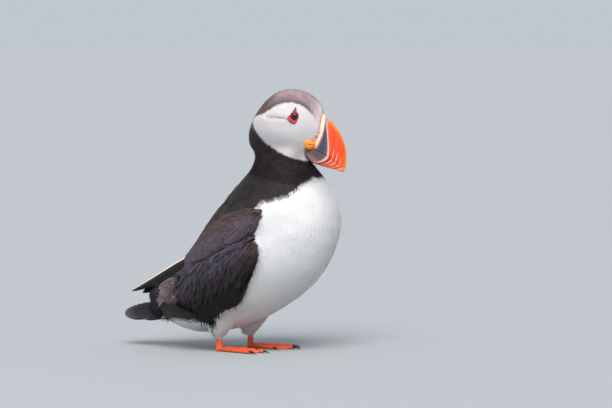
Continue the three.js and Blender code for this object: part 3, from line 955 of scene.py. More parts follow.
billLines = {  # across each mandible's side, ridge to mouth, from the hidden root to the tip: x and z in mm
    "upper": [
        [(14.5, 24.6), (15.0, 19.5), (16.6, 14.0), (18.4, 8.0), (19.6, 3.5), (20.2, -0.9)],
        billRoot["upper"],
        [(20.9, 24.4), (22.6, 20.4), (24.9, 15.2), (26.3, 9.8), (26.8, 4.2), (26.6, -0.8)],
        [(23.6, 24.0), (25.4, 19.0), (28.9, 14.0), (32.8, 8.5), (36.0, 3.4), (38.0, -0.8)],
        [(29.6, 22.3), (33.2, 16.8), (36.4, 11.4), (38.8, 6.6), (40.4, 2.6), (41.6, -1.1)],
        [(36.4, 19.2), (39.2, 14.2), (41.3, 9.8), (42.9, 5.6), (44.1, 1.8), (45.0, -1.7)],
        [(42.0, 15.2), (44.2, 11.0), (45.9, 7.2), (47.1, 3.8), (48.1, 0.6), (48.9, -2.4)],
        [(47.6, 9.4), (48.9, 6.6), (50.0, 3.8), (50.9, 1.2), (51.5, -1.2), (52.0, -3.4)],
        [(53.2, 0.1), (53.6, -1.0), (53.9, -2.0), (54.2, -3.0), (54.4, -3.9), (54.5, -4.8)],
        [(55.2, -5.2)] * 6,
    ],
    "lower": [
        [(20.4, -9.6), (20.2, -8.2), (20.0, -6.4), (19.8, -4.6), (19.6, -2.8), (19.5, -1.1)],
        billRoot["lower"],
        [(25.5, -11.3), (29.0, -11.0), (33.0, -9.7), (35.9, -7.0), (37.5, -4.0), (38.0, -0.92)],
        [(31.0, -11.8), (33.6, -10.8), (36.6, -9.0), (39.3, -6.6), (41.0, -4.0), (41.6, -1.22)],
        [(37.0, -10.6), (38.6, -9.4), (40.8, -7.9), (42.8, -6.1), (44.3, -4.0), (45.0, -1.82)],
        [(42.2, -9.2), (43.6, -8.1), (45.2, -7.0), (46.7, -5.7), (48.0, -4.3), (48.9, -2.52)],
        [(47.2, -7.9), (48.3, -7.1), (49.4, -6.3), (50.4, -5.5), (51.3, -4.6), (52.0, -3.52)],
        [(52.3, -6.9), (52.7, -6.6), (53.1, -6.2), (53.5, -5.8), (53.9, -5.3), (54.2, -4.95)],
        [(54.8, -5.9)] * 6,
    ],
    "upperWidth": [8.4, 7.9, 7.7, 5.7, 4.9, 4.0, 3.0, 2.0, 0.9, 0],  # half the bill's width along each line
    "lowerWidth": [7.6, 7.4, 5.4, 4.6, 3.7, 2.8, 1.8, 0.7, 0],
    "grooves": {"upper": (4, 5, 6), "lower": (3, 4, 5)},  # which of the lines are grooves
    "grooveDepth": 0.55,
    "creamRidge": {"upper": 3, "lower": 2},  # the raised pale line in front of the grey plate
    "creamRise": 0.35,
    "roundness": {"upper": 0.85, "lower": 0.7},  # of the section across; 1 is half an ellipse
    "nostril": {"level": 1.6, "slope": 0.08, "from": 27.5, "to": 34.5, "half": 0.32, "depth": 0.5},
    "archShare": 0.86,  # how much of the way round is outside; the rest closes the mouth side
    "upperGrid": (190, 110),  # steps along and round
    "lowerGrid": (150, 90),
}
hornColours = {
    "plateTop": (0.42, 0.38, 0.47),
    "plate": (0.060, 0.062, 0.105),
    "plateFront": (0.155, 0.125, 0.155),
    "plateLow": (0.13, 0.085, 0.095),
    "plateKeel": (0.60, 0.37, 0.33),
    "cream": (0.92, 0.60, 0.42),
    # on the swellings between the grooves: partly the horn's paler tone and partly a painted highlight
    "salmon": (0.92, 0.125, 0.050),
    "red": (0.86, 0.036, 0.004),
    # the lower mandible's dark red root wedge, and the painted shade in the upper mandible's grooves
    "deepRed": (0.30, 0.008, 0.004),
    "orange": (0.93, 0.120, 0.003),
    # along the ridge a painted highlight, toward the tip the horn's own orange
    "rim": (0.95, 0.22, 0.006),
    "tip": (0.93, 0.36, 0.20),
    "nostril": (0.03, 0.022, 0.03),
}
horn = paints(hornColours)


# levels count the bill's lines from its root, and height goes from 0 at the mouth to 1 at the ridge or keel
def upperColours(level, height):
    plate = blend(horn["plateTop"], horn["plate"], smoothstep(0.92, 0.55, height))
    plate = blend(plate, horn["plateFront"], smoothstep(2.5, 2.95, level) * 0.8)
    # salmon on the swellings between the grooves: partly the horn's paler tone and partly a painted highlight
    pale = bump(level, 3.30, 0.16) + bump(level, 4.42, 0.22) * 0.75 + bump(level, 5.45, 0.22) * 0.8
    bands = blend(horn["red"], horn["salmon"], np.clip(pale, 0, 1) * 0.75 * smoothstep(0.02, 0.3, height))
    warm = sum(bump(level, middle, 0.14) for middle in (3.72, 4.8, 5.8)) + smoothstep(6.1, 6.5, level)
    bands = blend(bands, horn["orange"], np.clip(warm, 0, 1) * 0.8)
    # painted shade: dark red on the flanks of the grooves near the mouth
    dark = bump(level, 3.82, 0.10) * smoothstep(0.55, 0.25, height)
    dark = dark + 0.6 * bump(level, 4.84, 0.09) * smoothstep(0.4, 0.15, height)
    bands = blend(bands, horn["deepRed"], np.clip(dark, 0, 0.9))
    faded = 0.95 - 0.9 * smoothstep(0.12, 0.45, height)
    # painted shade: dark red into each groove, stronger high on the bill
    deep = 0.45 * smoothstep(0.3, 0.7, height)
    for groove in billLines["grooves"]["upper"]:
        bands = blend(bands, horn["cream"], bump(level, groove + 0.02, 0.10) * faded)
        bands = blend(bands, horn["deepRed"], bump(level, groove - 0.01, 0.07) * deep)
    # orange along the ridge, a painted highlight, and toward the tip the horn's own orange
    rim = smoothstep(0.86, 0.95, height) + smoothstep(6.7, 7.3, level) * smoothstep(0.3, 0.6, height)
    bands = blend(bands, horn["rim"], np.clip(rim, 0, 1) * 0.9)
    bands = blend(bands, horn["tip"], smoothstep(7.0, 7.8, level) * smoothstep(0.5, 0.1, height))
    tint = blend(plate, bands, smoothstep(2.98, 3.04, level))
    tint = blend(tint, horn["cream"], bump(level, 3.0, 0.085) * (1 - 0.3 * smoothstep(0.6, 0.95, height)))
    return blend(tint, horn["tip"], smoothstep(2.25, 1.9, level))


def lowerColours(level, height):
    plate = blend(horn["plateLow"], horn["plateKeel"], smoothstep(0.35, 0.85, height))
    plate = blend(plate, horn["plate"], smoothstep(0.35, 0.0, height) * 0.6)
    plate = blend(plate, horn["salmon"] * 0.6, bump(level, 1.0, 0.07))
    # salmon on the swellings between the grooves: partly the horn's paler tone and partly a painted highlight
    pale = np.clip(bump(level, 3.5, 0.3) + bump(level, 4.5, 0.3), 0, 1)
    bands = blend(horn["red"], horn["salmon"], pale * 0.7)
    bands = blend(bands, horn["deepRed"], bump(level, 2.5, 0.36) * smoothstep(0.95, 0.3, height) * 0.9)
    bands = blend(bands, horn["orange"], smoothstep(0.75, 0.95, height) * smoothstep(6.5, 4, level))
    bands = blend(bands, horn["tip"], smoothstep(5.2, 6.4, level) * 0.8)
    for line in (3, 4, 5, 6):
        bands = blend(bands, horn["cream"], bump(level, line, 0.15) * 0.9 * smoothstep(1.0, 0.7, height))
    tint = blend(plate, bands, smoothstep(2.02, 2.12, level))
    return blend(tint, horn["cream"], bump(level, 2.02, 0.12))


def onLine(flat, height):  # the place at a height on each of the lines across the bill's side
    spot = np.clip(height, 0, 1) * 5
    step = np.minimum(spot.astype(int), 4)
    row = np.arange(len(spot))
    near = (flat[row, np.clip(step + shift, 0, 5)] for shift in (-1, 0, 1, 2))
    return between(*near, (spot - step)[:, None])


def sectionWay(turn, roundness):  # from -1 on one side of the bill to 1 on the other
    return -np.sign(np.cos(turn)) * np.abs(np.cos(turn)) ** roundness


def mandible(which):
    upper = which == "upper"
    lines = np.array([line[::-1] for line in billLines[which]], float)  # mouth to ridge
    widths = np.array(billLines[which + "Width"], float)
    nostril = billLines["nostril"]

    def shape(lengthShare, roundShare):
        level = lengthShare * (len(lines) - 1)
        turn = np.pi * np.clip(roundShare / billLines["archShare"], 0, 1)
        height = np.sin(turn)
        place = onLine(readAt(lines, level), height)
        half = np.maximum(readAt(widths, level), 0)
        relief = np.zeros(len(level))
        for groove in billLines["grooves"][which]:
            relief -= billLines["grooveDepth"] * bump(level, groove, 0.13) * (0.45 + 0.55 * (1 - height))
        ridge = bump(level, billLines["creamRidge"][which], 0.10 if upper else 0.12)
        relief += billLines["creamRise"] * ridge
        bands = smoothstep(3, 3.3, level) * smoothstep(7.5, 6.5, level)
        relief += 0.22 * np.sin(np.pi * (level % 1)) * bands
        tint = upperColours(level, height) if upper else lowerColours(level, height)
        if upper:
            middle = nostril["level"] + nostril["slope"] * (place[:, 0] - 30)
            slit = bump(place[:, 1], middle, nostril["half"])
            slit = slit * smoothstep(nostril["from"], nostril["from"] + 1.5, place[:, 0])
            slit = slit * smoothstep(nostril["to"], nostril["to"] - 1.5, place[:, 0])
            relief -= nostril["depth"] * slit
            tint = blend(tint, horn["nostril"], slit * 0.9)
        across = sectionWay(turn, billLines["roundness"][which])
        side = across * np.maximum(half + relief * np.minimum(1, half), 0)
        inside = roundShare > billLines["archShare"]  # the flat side, in the closed mouth
        back = (roundShare - billLines["archShare"]) / (1 - billLines["archShare"])
        side = np.where(inside, half * (1 - 2 * back), side)
        return fromHead(place[:, 0], side, place[:, 1]), tint

    return shape


shapedGrid("billUpper", *billLines["upperGrid"], mandible("upper"), hornMaterial, "bill_horn", "bill_upper")
shapedGrid("billLower", *billLines["lowerGrid"], mandible("lower"), hornMaterial, "bill_horn", "bill_lower")

cere = {
    "from": 1.0,  # where its rear and front edges lie among the bill's lines
    "to": 2.02,
    "rise": 0.5,  # how far it stands out of the bill
    "sunk": 1.1,  # how deep its rear edge lies in the feathers
    "frontShare": 0.8,  # how much of the grid's width is the ridge; the rest closes it underneath
    "under": 1.4,  # how far it reaches into the bill
    "pits": 0.9,  # their size
    "pitDepth": 0.16,
    "around": 170,
    "across": 28,
}
cereTints = paints({
    "skin": (0.87, 0.54, 0.37),
    "pale": (0.92, 0.72, 0.56),
    "edge": (0.78, 0.10, 0.02),
    # painted shade in the cere's pits
    "pit": (0.66, 0.36, 0.24),
})


def coatReach(starts, outward):  # how far from each start the coat's surface lies, or 0 where there is none
    found = np.zeros(len(starts))
    far = 45 * mm
    for index, (start, way) in enumerate(zip(starts, outward)):
        hit = coatTree.ray_cast(Vector(start + way * far), Vector(-way), far)[0]
        if hit is not None:
            found[index] = (hit - Vector(start)).length
    return found


def cereShape(roundShare, acrossShare):  # a low ridge over the bill's root, from mouth corner to mouth corner
    lines = np.array([line[::-1] for line in billLines["upper"]], float)
    turn = np.pi * (0.012 + 0.976 * roundShare)
    front = np.clip(acrossShare / cere["frontShare"], 0, 1)
    onRidge = acrossShare <= cere["frontShare"]
    back = (1 - acrossShare) / (1 - cere["frontShare"])
    level = cere["from"] + (cere["to"] - cere["from"]) * np.where(onRidge, front, back)
    ends = np.sin(np.pi * np.clip(roundShare, 0, 1)) ** 0.25
    rise = cere["rise"] * np.maximum(1 - (2 * front - 1) ** 2, 0) ** 0.6 * (0.35 + 0.65 * ends)
    rise = np.where(onRidge, rise - 0.15, -cere["under"])
    flat = readAt(lines, level)
    spot = np.clip(np.sin(turn), 0, 1) * 5
    row = np.arange(len(spot))
    step = np.minimum(spot.astype(int), 4)
    place = flat[row, step] + (flat[row, step + 1] - flat[row, step]) * (spot - step)[:, None]
    across = sectionWay(turn, billLines["roundness"]["upper"]) * readAt(billLines["upperWidth"], level)
    middle = flat[:, 0] * 0.75 + flat[:, 5] * 0.25
    outward = np.stack([place[:, 0] - middle[:, 0], across, place[:, 1] - middle[:, 1]], -1)
    outward[:, 0] *= 0.3
    reach = np.linalg.norm(outward, axis=1)
    outward = outward / reach[:, None]
    middle = np.stack([place[:, 0] - outward[:, 0] * reach, np.zeros(len(row)), middle[:, 1]], -1)
    coat = coatReach(fromHead(*middle.T), outward @ headAxes.T) / mm
    coat = np.minimum(coat - cere["sunk"], reach + 3.0) * smoothstep(1.0, 0.5, front)
    pits = softNoise(np.stack([place[:, 0], across, place[:, 1]], -1), cere["pits"], 21)
    rise = rise - cere["pitDepth"] * np.maximum(pits - 0.25, 0) * onRidge
    spots = middle + outward * (np.maximum(reach, coat) + rise)[:, None]
    tint = blend(cereTints["skin"], cereTints["pale"], smoothstep(0.15, 0.6, front))
    # painted shade in the pits, where the noise sinks the surface
    tint = blend(tint, cereTints["pit"], smoothstep(0.25, 0.6, pits) * 0.45)
    fading = 1 - 0.75 * smoothstep(0.75, 1, np.sin(turn))
    tint = blend(tint, cereTints["edge"], smoothstep(0.20, 0.07, front) * fading)
    return fromHead(*spots.T), tint


shapedGrid("cere", cere["around"], cere["across"], cereShape, fleshMaterial, "cere_skin", "bill_cere")
print("bill and cere made")


rosette = {  # the yellow fold at each corner of the mouth
    "place": (21.6, 9.8, 0.1),  # in the head's frame, millimetres
    "half": (4.9, 2.3, 3.9),
    "turn": 36,  # degrees; its face looks outward and a little ahead
    "tilt": 8,
    "folds": 0.17,
    "lips": 0.6,  # how deep the slit between its lips is
    "around": 64,
    "across": 40,
}
rosetteTints = paints({
    "yellow": (0.90, 0.43, 0.02),
    "orange": (0.86, 0.20, 0.012),
    # painted shade in the slit between the lips
    "crease": (0.55, 0.08, 0.01),
})


def rosetteShape(which):
    side = sides[which]
    x0, y0, z0 = rosette["place"]
    lengthHalf, thickHalf, tallHalf = rosette["half"]

    def shape(roundShare, poleShare):
        turn, rise = 2 * np.pi * roundShare, np.pi * poleShare
        outline = 1 + 0.05 * np.sin(3 * turn + 0.8) + 0.03 * np.sin(5 * turn)
        radial = np.sin(rise)
        x = np.cos(turn) * radial * lengthHalf * outline
        z = np.sin(turn) * radial * tallHalf * outline
        out = np.cos(rise) * thickHalf
        slit = bump(z, 0.35 + 0.12 * x, 0.42) * smoothstep(-3.8, -1.0, x)
        ring = smoothstep(0.3, 0.75, radial) * smoothstep(1.0, 0.85, radial)
        wrinkles = rosette["folds"] * np.cos(9 * turn + 2.0 * radial) * ring
        out = out - np.where(out > 0, rosette["lips"] * slit - wrinkles, 0)
        # deeper orange toward its edge, and in the hollows between the folds a painted shade
        warm = np.clip(0.35 + 0.5 * smoothstep(0.55, 1.0, radial) - 1.6 * wrinkles, 0, 1)
        tint = blend(rosetteTints["yellow"], rosetteTints["orange"], warm * 0.8)
        # painted shade in the slit between the lips
        tint = blend(tint, rosetteTints["crease"], np.clip(slit * 0.85, 0, 0.85))
        tilt = math.radians(rosette["tilt"])
        x, z = x * math.cos(tilt) - z * math.sin(tilt), x * math.sin(tilt) + z * math.cos(tilt)
        swing = math.radians(rosette["turn"])
        ahead = x * math.cos(swing) + out * math.sin(swing)
        aside = -x * math.sin(swing) + out * math.cos(swing)
        return fromHead(x0 + ahead, side * (y0 + aside), z0 + z), tint

    return shape


for which in sides:
    shapedGrid(f"{which}Rosette", rosette["around"], rosette["across"], rosetteShape(which), fleshMaterial,
               "gape_skin", f"{which}_gape")
print("rosettes made")


eyeShapes = {  # outlines in the head's side view, x and z in millimetres, each run the same way round
    "opening": [(3.6, 13.8), (3.1, 15.5), (1.6, 16.6), (-0.3, 16.3), (-1.6, 14.7), (-1.4, 12.9), (0.0, 11.6),
                (2.0, 11.3), (3.3, 12.4)],
    "lids": [(4.4, 12.7), (3.6, 15.5), (2.0, 17.3), (0.1, 18.3), (-1.4, 18.8), (-2.1, 17.7), (-2.2, 16.0),
             (-2.4, 13.2), (-3.1, 10.9), (-2.2, 10.0), (1.0, 9.5), (4.0, 9.3), (4.7, 10.3)],
    "plate": [(0.9, 17.3), (0.1, 18.6), (-0.8, 19.7), (-2.0, 20.5), (-2.1, 19.1), (-1.9, 17.7), (-1.4, 16.7),
              (-0.3, 16.7)],
    "bar": [(-1.3, 10.1), (-3.0, 10.0), (-2.7, 9.2), (-1.1, 8.6), (1.3, 8.3), (3.6, 8.4), (4.6, 9.1),
            (3.8, 9.7), (1.3, 9.8)],
}
eyeLook = {
    "radius": 3.6,
    "place": (0.95, 16.15, 13.9),  # its middle in the head's frame
    "pupil": 1.45,
    "wrinkles": 26,
    "wrinkleDepth": 0.06,
    "lidRise": 0.62,
    "ringShare": 0.75,  # how much of the grid is the ring or plate; the rest closes it behind
    "lidBack": 1.4,  # how far behind the face a lid's back lies, and a plate's
    "plateBack": 1.2,
    "clear": 0.6,  # how far under a rim the face's feathers may begin, in millimetres
}
eyeTints = paints({
    "iris": (0.030, 0.014, 0.012),
    "black": (0.002, 0.002, 0.002),
    "red": (0.72, 0.014, 0.022),
    "redEdge": (0.42, 0.006, 0.012),
    # painted shade at the lids' inner rim
    "openingShade": (0.16, 0.006, 0.008),
    "horn": (0.085, 0.085, 0.125),
    "hornPale": (0.22, 0.21, 0.30),
})


def faceSide(x, z, side):  # how far out the face's feathers reach at a place in its side view
    found = np.empty(len(x))
    outward = Vector(headAxes[:, 1]) * side
    outside, missed = 45.0, 15.0  # where each look inward begins, and the answer where it meets nothing
    for index, start in enumerate(fromHead(x, np.full(len(x), outside * side), z)):
        hit = coatTree.ray_cast(Vector(start), -outward)[0]
        found[index] = outside - (Vector(start) - hit).length / mm if hit else missed
    return found


def eyeBall(which):
    side = sides[which]
    middle = eyeLook["place"]

    def shape(roundShare, poleShare):
        turn, rise = 2 * np.pi * roundShare, np.pi * poleShare
        radius = eyeLook["radius"]
        x, z = np.cos(turn) * np.sin(rise) * radius, np.sin(turn) * np.sin(rise) * radius
        y = np.cos(rise) * radius
        away = np.hypot(x, z)
        inIris = smoothstep(eyeLook["pupil"], eyeLook["pupil"] + 0.2, away)
        tint = blend(eyeTints["black"], eyeTints["iris"], inIris)
        tint = tint * (1 - 0.6 * smoothstep(2.1, 2.8, away))[:, None]
        return fromHead(middle[0] + x, side * (middle[1] + y), middle[2] + z), tint

    return shape


def ringShares(acrossShare):  # how far across the front, and across the whole with its back turned under
    front = np.clip(acrossShare / eyeLook["ringShare"], 0, 1)
    behind = np.clip((acrossShare - eyeLook["ringShare"]) / (1 - eyeLook["ringShare"]), 0, 1)
    isBack = acrossShare > eyeLook["ringShare"]
    return front, np.where(isBack, 1 - behind, front), isBack


def lidShape(which):  # a soft red ring, from the rim of the opening down to the face
    side = sides[which]
    middle = eyeLook["place"]
    inner = curveThrough(np.array(eyeShapes["opening"]), closed=True, steps=16)
    outer = curveThrough(np.array(eyeShapes["lids"]), closed=True, steps=16)

    def read(line, share):
        centre = np.array([middle[0], middle[2] - 0.1])
        angles = np.arctan2(line[:, 1] - centre[1], line[:, 0] - centre[0])
        wanted = share * 2 * np.pi - np.pi
        return np.stack([np.interp(wanted, angles, line[:, axis], period=2 * np.pi) for axis in (0, 1)], -1)

    def shape(roundShare, acrossShare):
        near, far = read(inner, roundShare), read(outer, roundShare)
        _, spread, isBack = ringShares(acrossShare)
        flat = near + (far - near) * spread[:, None]
        away = np.hypot(flat[:, 0] - middle[0], flat[:, 1] - middle[2])
        globe = middle[1] + np.sqrt(np.maximum(eyeLook["radius"] ** 2 - away ** 2, 0.4))
        face = faceSide(flat[:, 0], flat[:, 1], side)
        level = globe + (np.maximum(face, globe - 1.2) - globe) * smoothstep(0.0, 0.9, spread)
        crest = eyeLook["lidRise"] * np.sin(np.pi * np.clip(spread, 0, 1) ** 0.6)
        wrinkle = np.sin(roundShare * 2 * np.pi * eyeLook["wrinkles"]) * np.sin(np.pi * spread)
        y = level + crest + eyeLook["wrinkleDepth"] * wrinkle + 0.12
        y = y - 0.3 * smoothstep(0.15, 0.0, spread) - 0.8 * smoothstep(0.86, 1.0, spread)
        y = np.where(isBack, np.minimum(globe, face) - eyeLook["lidBack"], y)
        tint = blend(eyeTints["red"], eyeTints["redEdge"], smoothstep(0.6, 1.0, spread))
        # painted shade where the lid turns down into the eye's opening
        tint = blend(tint, eyeTints["openingShade"], smoothstep(0.22, 0.04, spread))
        return fromHead(flat[:, 0], side * y, flat[:, 1]), tint

    return shape


def plateShape(which, outline, dome):  # a small domed plate standing on the face
    side = sides[which]
    line = curveThrough(np.array(eyeShapes[outline]), closed=True, steps=12)
    centre = line.mean(0)

    def shape(roundShare, acrossShare):
        index = roundShare * len(line)
        first = np.floor(index).astype(int) % len(line)
        rim = line[first] + (line[(first + 1) % len(line)] - line[first]) * (index % 1)[:, None]
        front, spread, isBack = ringShares(acrossShare)
        flat = centre + (rim - centre) * spread[:, None]
        face = faceSide(flat[:, 0], flat[:, 1], side)
        y = face - 0.2 + dome * np.sqrt(np.maximum(1 - front ** 2.6, 0))
        y = np.where(isBack, face - eyeLook["plateBack"], y)
        clouds = softNoise(np.stack([flat[:, 0], y, flat[:, 1]], -1), 1.2, 5)
        pale = np.clip(smoothstep(0.5, 0.95, front) * 0.6 + 0.3 * clouds, 0, 1)
        tint = blend(eyeTints["horn"], eyeTints["hornPale"], pale)
        return fromHead(flat[:, 0], side * y, flat[:, 1]), tint

    return shape


for which in sides:
    shapedGrid(f"{which}Eye", 48, 32, eyeBall(which), eyeMaterial, "eye", f"{which}_eye")
    shapedGrid(f"{which}Lids", 110, 22, lidShape(which), fleshMaterial, "gape_skin")
    shapedGrid(f"{which}EyePlate", 48, 16, plateShape(which, "plate", 0.6), hornMaterial, "bill_horn")
    shapedGrid(f"{which}EyeBar", 48, 16, plateShape(which, "bar", 0.8), hornMaterial, "bill_horn")
print("eyes, lids and plates made")


def clearOfSkin(roots, look):  # tufts shrink or go where they would lie over the cere, the lids or the plates
    size = np.ones(len(roots["place"]))
    outlines = [curveThrough(np.array(eyeShapes[part]), closed=True) for part in ("lids", "plate", "bar")]
    tips = roots["place"] + roots["normal"] * roots["depth"][:, None]
    size[distanceTo(rootLine, inHead(roots["place"])[:, [0, 2]] / mm) > 0.35] = 0

    def within(outline, places):  # how far inside it, on the head's sides only
        local = inHead(places) / mm
        return distanceTo(outline, local[:, [0, 2]], closed=True) * (np.abs(local[:, 1]) > 9)

    for outline in outlines:  # a root may hide under the rim
        size[within(outline, tips) > eyeLook["clear"]] = 0
        for reach in (1.0, 0.8, 0.6, 0.4):
            over = within(outline, tips + roots["along"] * reach * look["length"]) > 0
            size[over] = np.minimum(size[over], reach - 0.2)
    roots["size"] = size
    return onlySome(roots, size > 0.3)


headRoots = clearOfSkin(rootsIn(headQuads, 2.6), headLook)
growTufts("headCoat", headRoots, headLook, softFeather, "face_feathers")

footShape = {
    "toeRadius": (2.15, 1.45),  # at the heel and at the claw, millimetres
    "knuckles": 0.09,  # how far the toe's pads swell between the joints
    "knuckleLength": 9.5,
    "beadStep": 1.3,
    "web": (0.25, 1.25),  # the web's underside and top
    "webDip": 0.46,  # how far between two toes the web's free edge draws back
    "shank": [(1.8, 2.7), (5, 2.35), (12, 2.2), (20, 2.35), (25, 2.5)],  # height and radius
    "clawLength": 6.5,
    "voxel": 0.42,
    "smoothing": 3,
    "scuteStep": 1.55,
    "scuteRelief": 0.16,
    "shankTop": (3.4, 5.0),  # between these heights the foot turns into the shank
}
footColours = {
    "toe": (0.80, 0.085, 0.014),
    "web": (0.84, 0.150, 0.020),
    "joint": (0.62, 0.050, 0.012),
    "between": (0.45, 0.028, 0.006),
    "sole": (0.42, 0.085, 0.020),
    "shin": (0.78, 0.095, 0.018),
}
footTint = paints(footColours)


def toesOf(which):  # the heel, and each toe's way and length, worked out from the frame
    heel = np.array(middleOf(f"{which}_shank"))[:2] / mm
    toes = []
    for toe in (1, 2, 3):
        away = np.array(middleOf(f"{which}_claw_{toe}"))[:2] / mm - heel
        length = np.hypot(*away)
        toes.append((away / length, length - footShape["clawLength"] / 2))
    return heel, toes


def toeRadius(share, length):
    first, last = footShape["toeRadius"]
    pads = 1 + footShape["knuckles"] * np.cos(2 * np.pi * share * length / footShape["knuckleLength"])
    return (first + (last - first) * share) * pads


def addBead(bm, place, size):
    made = bmesh.ops.create_icosphere(bm, subdivisions=2, radius=1)
    bmesh.ops.scale(bm, vec=Vector(size) * mm, verts=made["verts"])
    bmesh.ops.translate(bm, vec=Vector(place) * mm, verts=made["verts"])


def addWeb(bm, heel, toes):
    reach = [way * length * 0.97 for way, length in toes]
    outline = [np.array([-2.2, 0.0]), reach[0]]
    for before, after in zip(reach, reach[1:]):
        middle = (before + after) * footShape["webDip"]
        for share in np.linspace(0, 1, 9)[1:]:
            outline.append(before * (1 - share) ** 2 + 2 * middle * share * (1 - share) + after * share ** 2)
    low, high = footShape["web"]
    verts = [bm.verts.new(Vector((*(heel + spot), low)) * mm) for spot in outline]
    face = bm.faces.new(verts)
    raised = bmesh.ops.extrude_face_region(bm, geom=[face], use_keep_orig=True)
    raised = [item for item in raised["geom"] if isinstance(item, bmesh.types.BMVert)]
    bmesh.ops.translate(bm, vec=(0, 0, (high - low) * mm), verts=raised)
    bmesh.ops.recalc_face_normals(bm, faces=bm.faces)


def roughFoot(which):
    heel, toes = toesOf(which)
    bm = bmesh.new()
    addWeb(bm, heel, toes)
    for way, length in toes:
        for reach in np.arange(0, length + 0.1, footShape["beadStep"]):
            radius = toeRadius(reach / length, length)
            spot = heel + way * reach
            addBead(bm, (*spot, radius * 0.96), (radius * 1.08, radius, radius))
    heights = np.array(footShape["shank"])
    for height in np.arange(heights[0, 0], heights[-1, 0], 1.0):
        radius = np.interp(height, heights[:, 0], heights[:, 1])
        addBead(bm, (*heel, height), (radius * 1.15, radius * 0.88, radius))
    return smoothShell("roughFoot", bm, footShape["voxel"] * mm, footShape["smoothing"]), heel, toes


def scutes(distance):  # overlapping bands, a slow rise and a quick fall, and the gaps between them
    part = (distance / footShape["scuteStep"]) % 1
    band = smoothstep(0, 0.75, part) * smoothstep(1.0, 0.86, part)
    return band, smoothstep(0.2, 0.0, part) + smoothstep(0.84, 1, part)


def makeFoot(which):
    mesh, heel, toes = roughFoot(which)
    places, normals = readMesh(mesh)
    own = places / mm
    flat = own[:, :2] - heel
    upward = smoothstep(0.05, 0.6, normals[:, 2])
    ripples = softNoise(own * [1, 1, 0], 2.2, 41) * 0.10 + softNoise(own * [1, 1, 0], 0.8, 42) * 0.07
    relief = ripples * upward
    tint = footTint["web"] * (1 + 0.6 * ripples[:, None])
    low = own[:, 2] < 4.6  # under the shank
    for way, length in toes:
        reach = flat @ way
        aside = flat[:, 0] * way[1] - flat[:, 1] * way[0]
        share = np.clip(reach / length, 0, 1)
        radius = toeRadius(share, length)
        onToe = smoothstep(radius + 0.5, radius - 0.1, np.abs(aside)) * smoothstep(-2, 0.5, reach) * low
        band, gap = scutes(reach + 0.22 * aside ** 2)
        relief = relief * (1 - onToe) + footShape["scuteRelief"] * (band - 0.5) * upward * onToe
        toeTint = blend(footTint["toe"], footTint["between"], gap * upward * 0.65)
        joint = smoothstep(0.3, 1, -np.cos(2 * np.pi * share * length / footShape["knuckleLength"]))
        toeTint = blend(toeTint, footTint["joint"], joint * 0.5)
        tint = blend(tint, toeTint, onToe)
    onShank = smoothstep(*footShape["shankTop"], own[:, 2])
    ahead = smoothstep(0.1, 0.6, normals[:, 0])
    band, gap = scutes(own[:, 2] + 0.3 * flat[:, 1] ** 2)
    cells = softNoise(own, 0.7, 43)
    shankRelief = footShape["scuteRelief"] * (band - 0.5) * ahead + 0.10 * cells * (1 - ahead)
    darker = gap * ahead * 0.6 + 0.25 * (1 - ahead) * (cells < 0)
    relief = relief * (1 - onShank) + shankRelief * onShank
    tint = blend(tint, blend(footTint["shin"], footTint["between"], darker), onShank)
    onSole = smoothstep(0.0, -0.7, normals[:, 2]) * smoothstep(3, 1, own[:, 2])
    tint = blend(tint, footTint["sole"], onSole)
    places = places + normals * relief[:, None] * mm
    places[:, 2] = np.maximum(places[:, 2], 0)
    mesh.vertices.foreach_set("co", places.astype(np.float32).ravel())
    mesh.update()
    paintMesh(mesh, "paint", np.clip(tint, 0, 1))
    mesh.shade_smooth()
    mesh.materials.clear()
    mesh.materials.append(fleshMaterial)
    piece = bpy.data.objects.new(f"{which}Foot", mesh)
    finishPiece(piece, "foot_skin", f"{which}_foot", f"{which}_shank")


clawShape = {
    "top": [2.75, 2.7, 2.3, 1.5, 0.35],  # along the claw, root to point, millimetres over the floor
    "bottom": [0.35, 0.75, 0.75, 0.5, 0.12],
    "half": [1.15, 1.0, 0.8, 0.5, 0.06],
    "under": 0.8,  # how far the claw's root hides in the toe
}
clawTints = paints({"horn": (0.018, 0.013, 0.012), "worn": (0.12, 0.085, 0.07)})


def makeClaw(which, toe):
    heel, toes = toesOf(which)
    way, length = toes[toe - 1]

    def shape(lengthShare, roundShare):
        at = lengthShare * (len(clawShape["top"]) - 1)
        top, bottom, half = (readAt(clawShape[key], at) for key in ("top", "bottom", "half"))
        turn = 2 * np.pi * roundShare
        reach = length - clawShape["under"] + (footShape["clawLength"] + clawShape["under"]) * lengthShare
        aside = np.sin(turn) * half
        height = (top + bottom) / 2 + np.cos(turn) * (top - bottom) / 2
        x = heel[0] + way[0] * reach - way[1] * aside
        y = heel[1] + way[1] * reach + way[0] * aside
        ridge = smoothstep(0.85, 1.0, np.cos(turn)) * 0.5 + smoothstep(0.8, 1.0, lengthShare) * 0.6
        tint = blend(clawTints["horn"], clawTints["worn"], np.clip(ridge, 0, 1))
        return np.stack([x, y, np.maximum(height, 0.05)], -1) * mm, tint

    shapedGrid(f"{which}Claw{toe}", 26, 20, shape, hornMaterial, "claw_horn", f"{which}_claw_{toe}")


for which in sides:
    makeFoot(which)
    for toe in (1, 2, 3):
        makeClaw(which, toe)
print("feet and claws made")


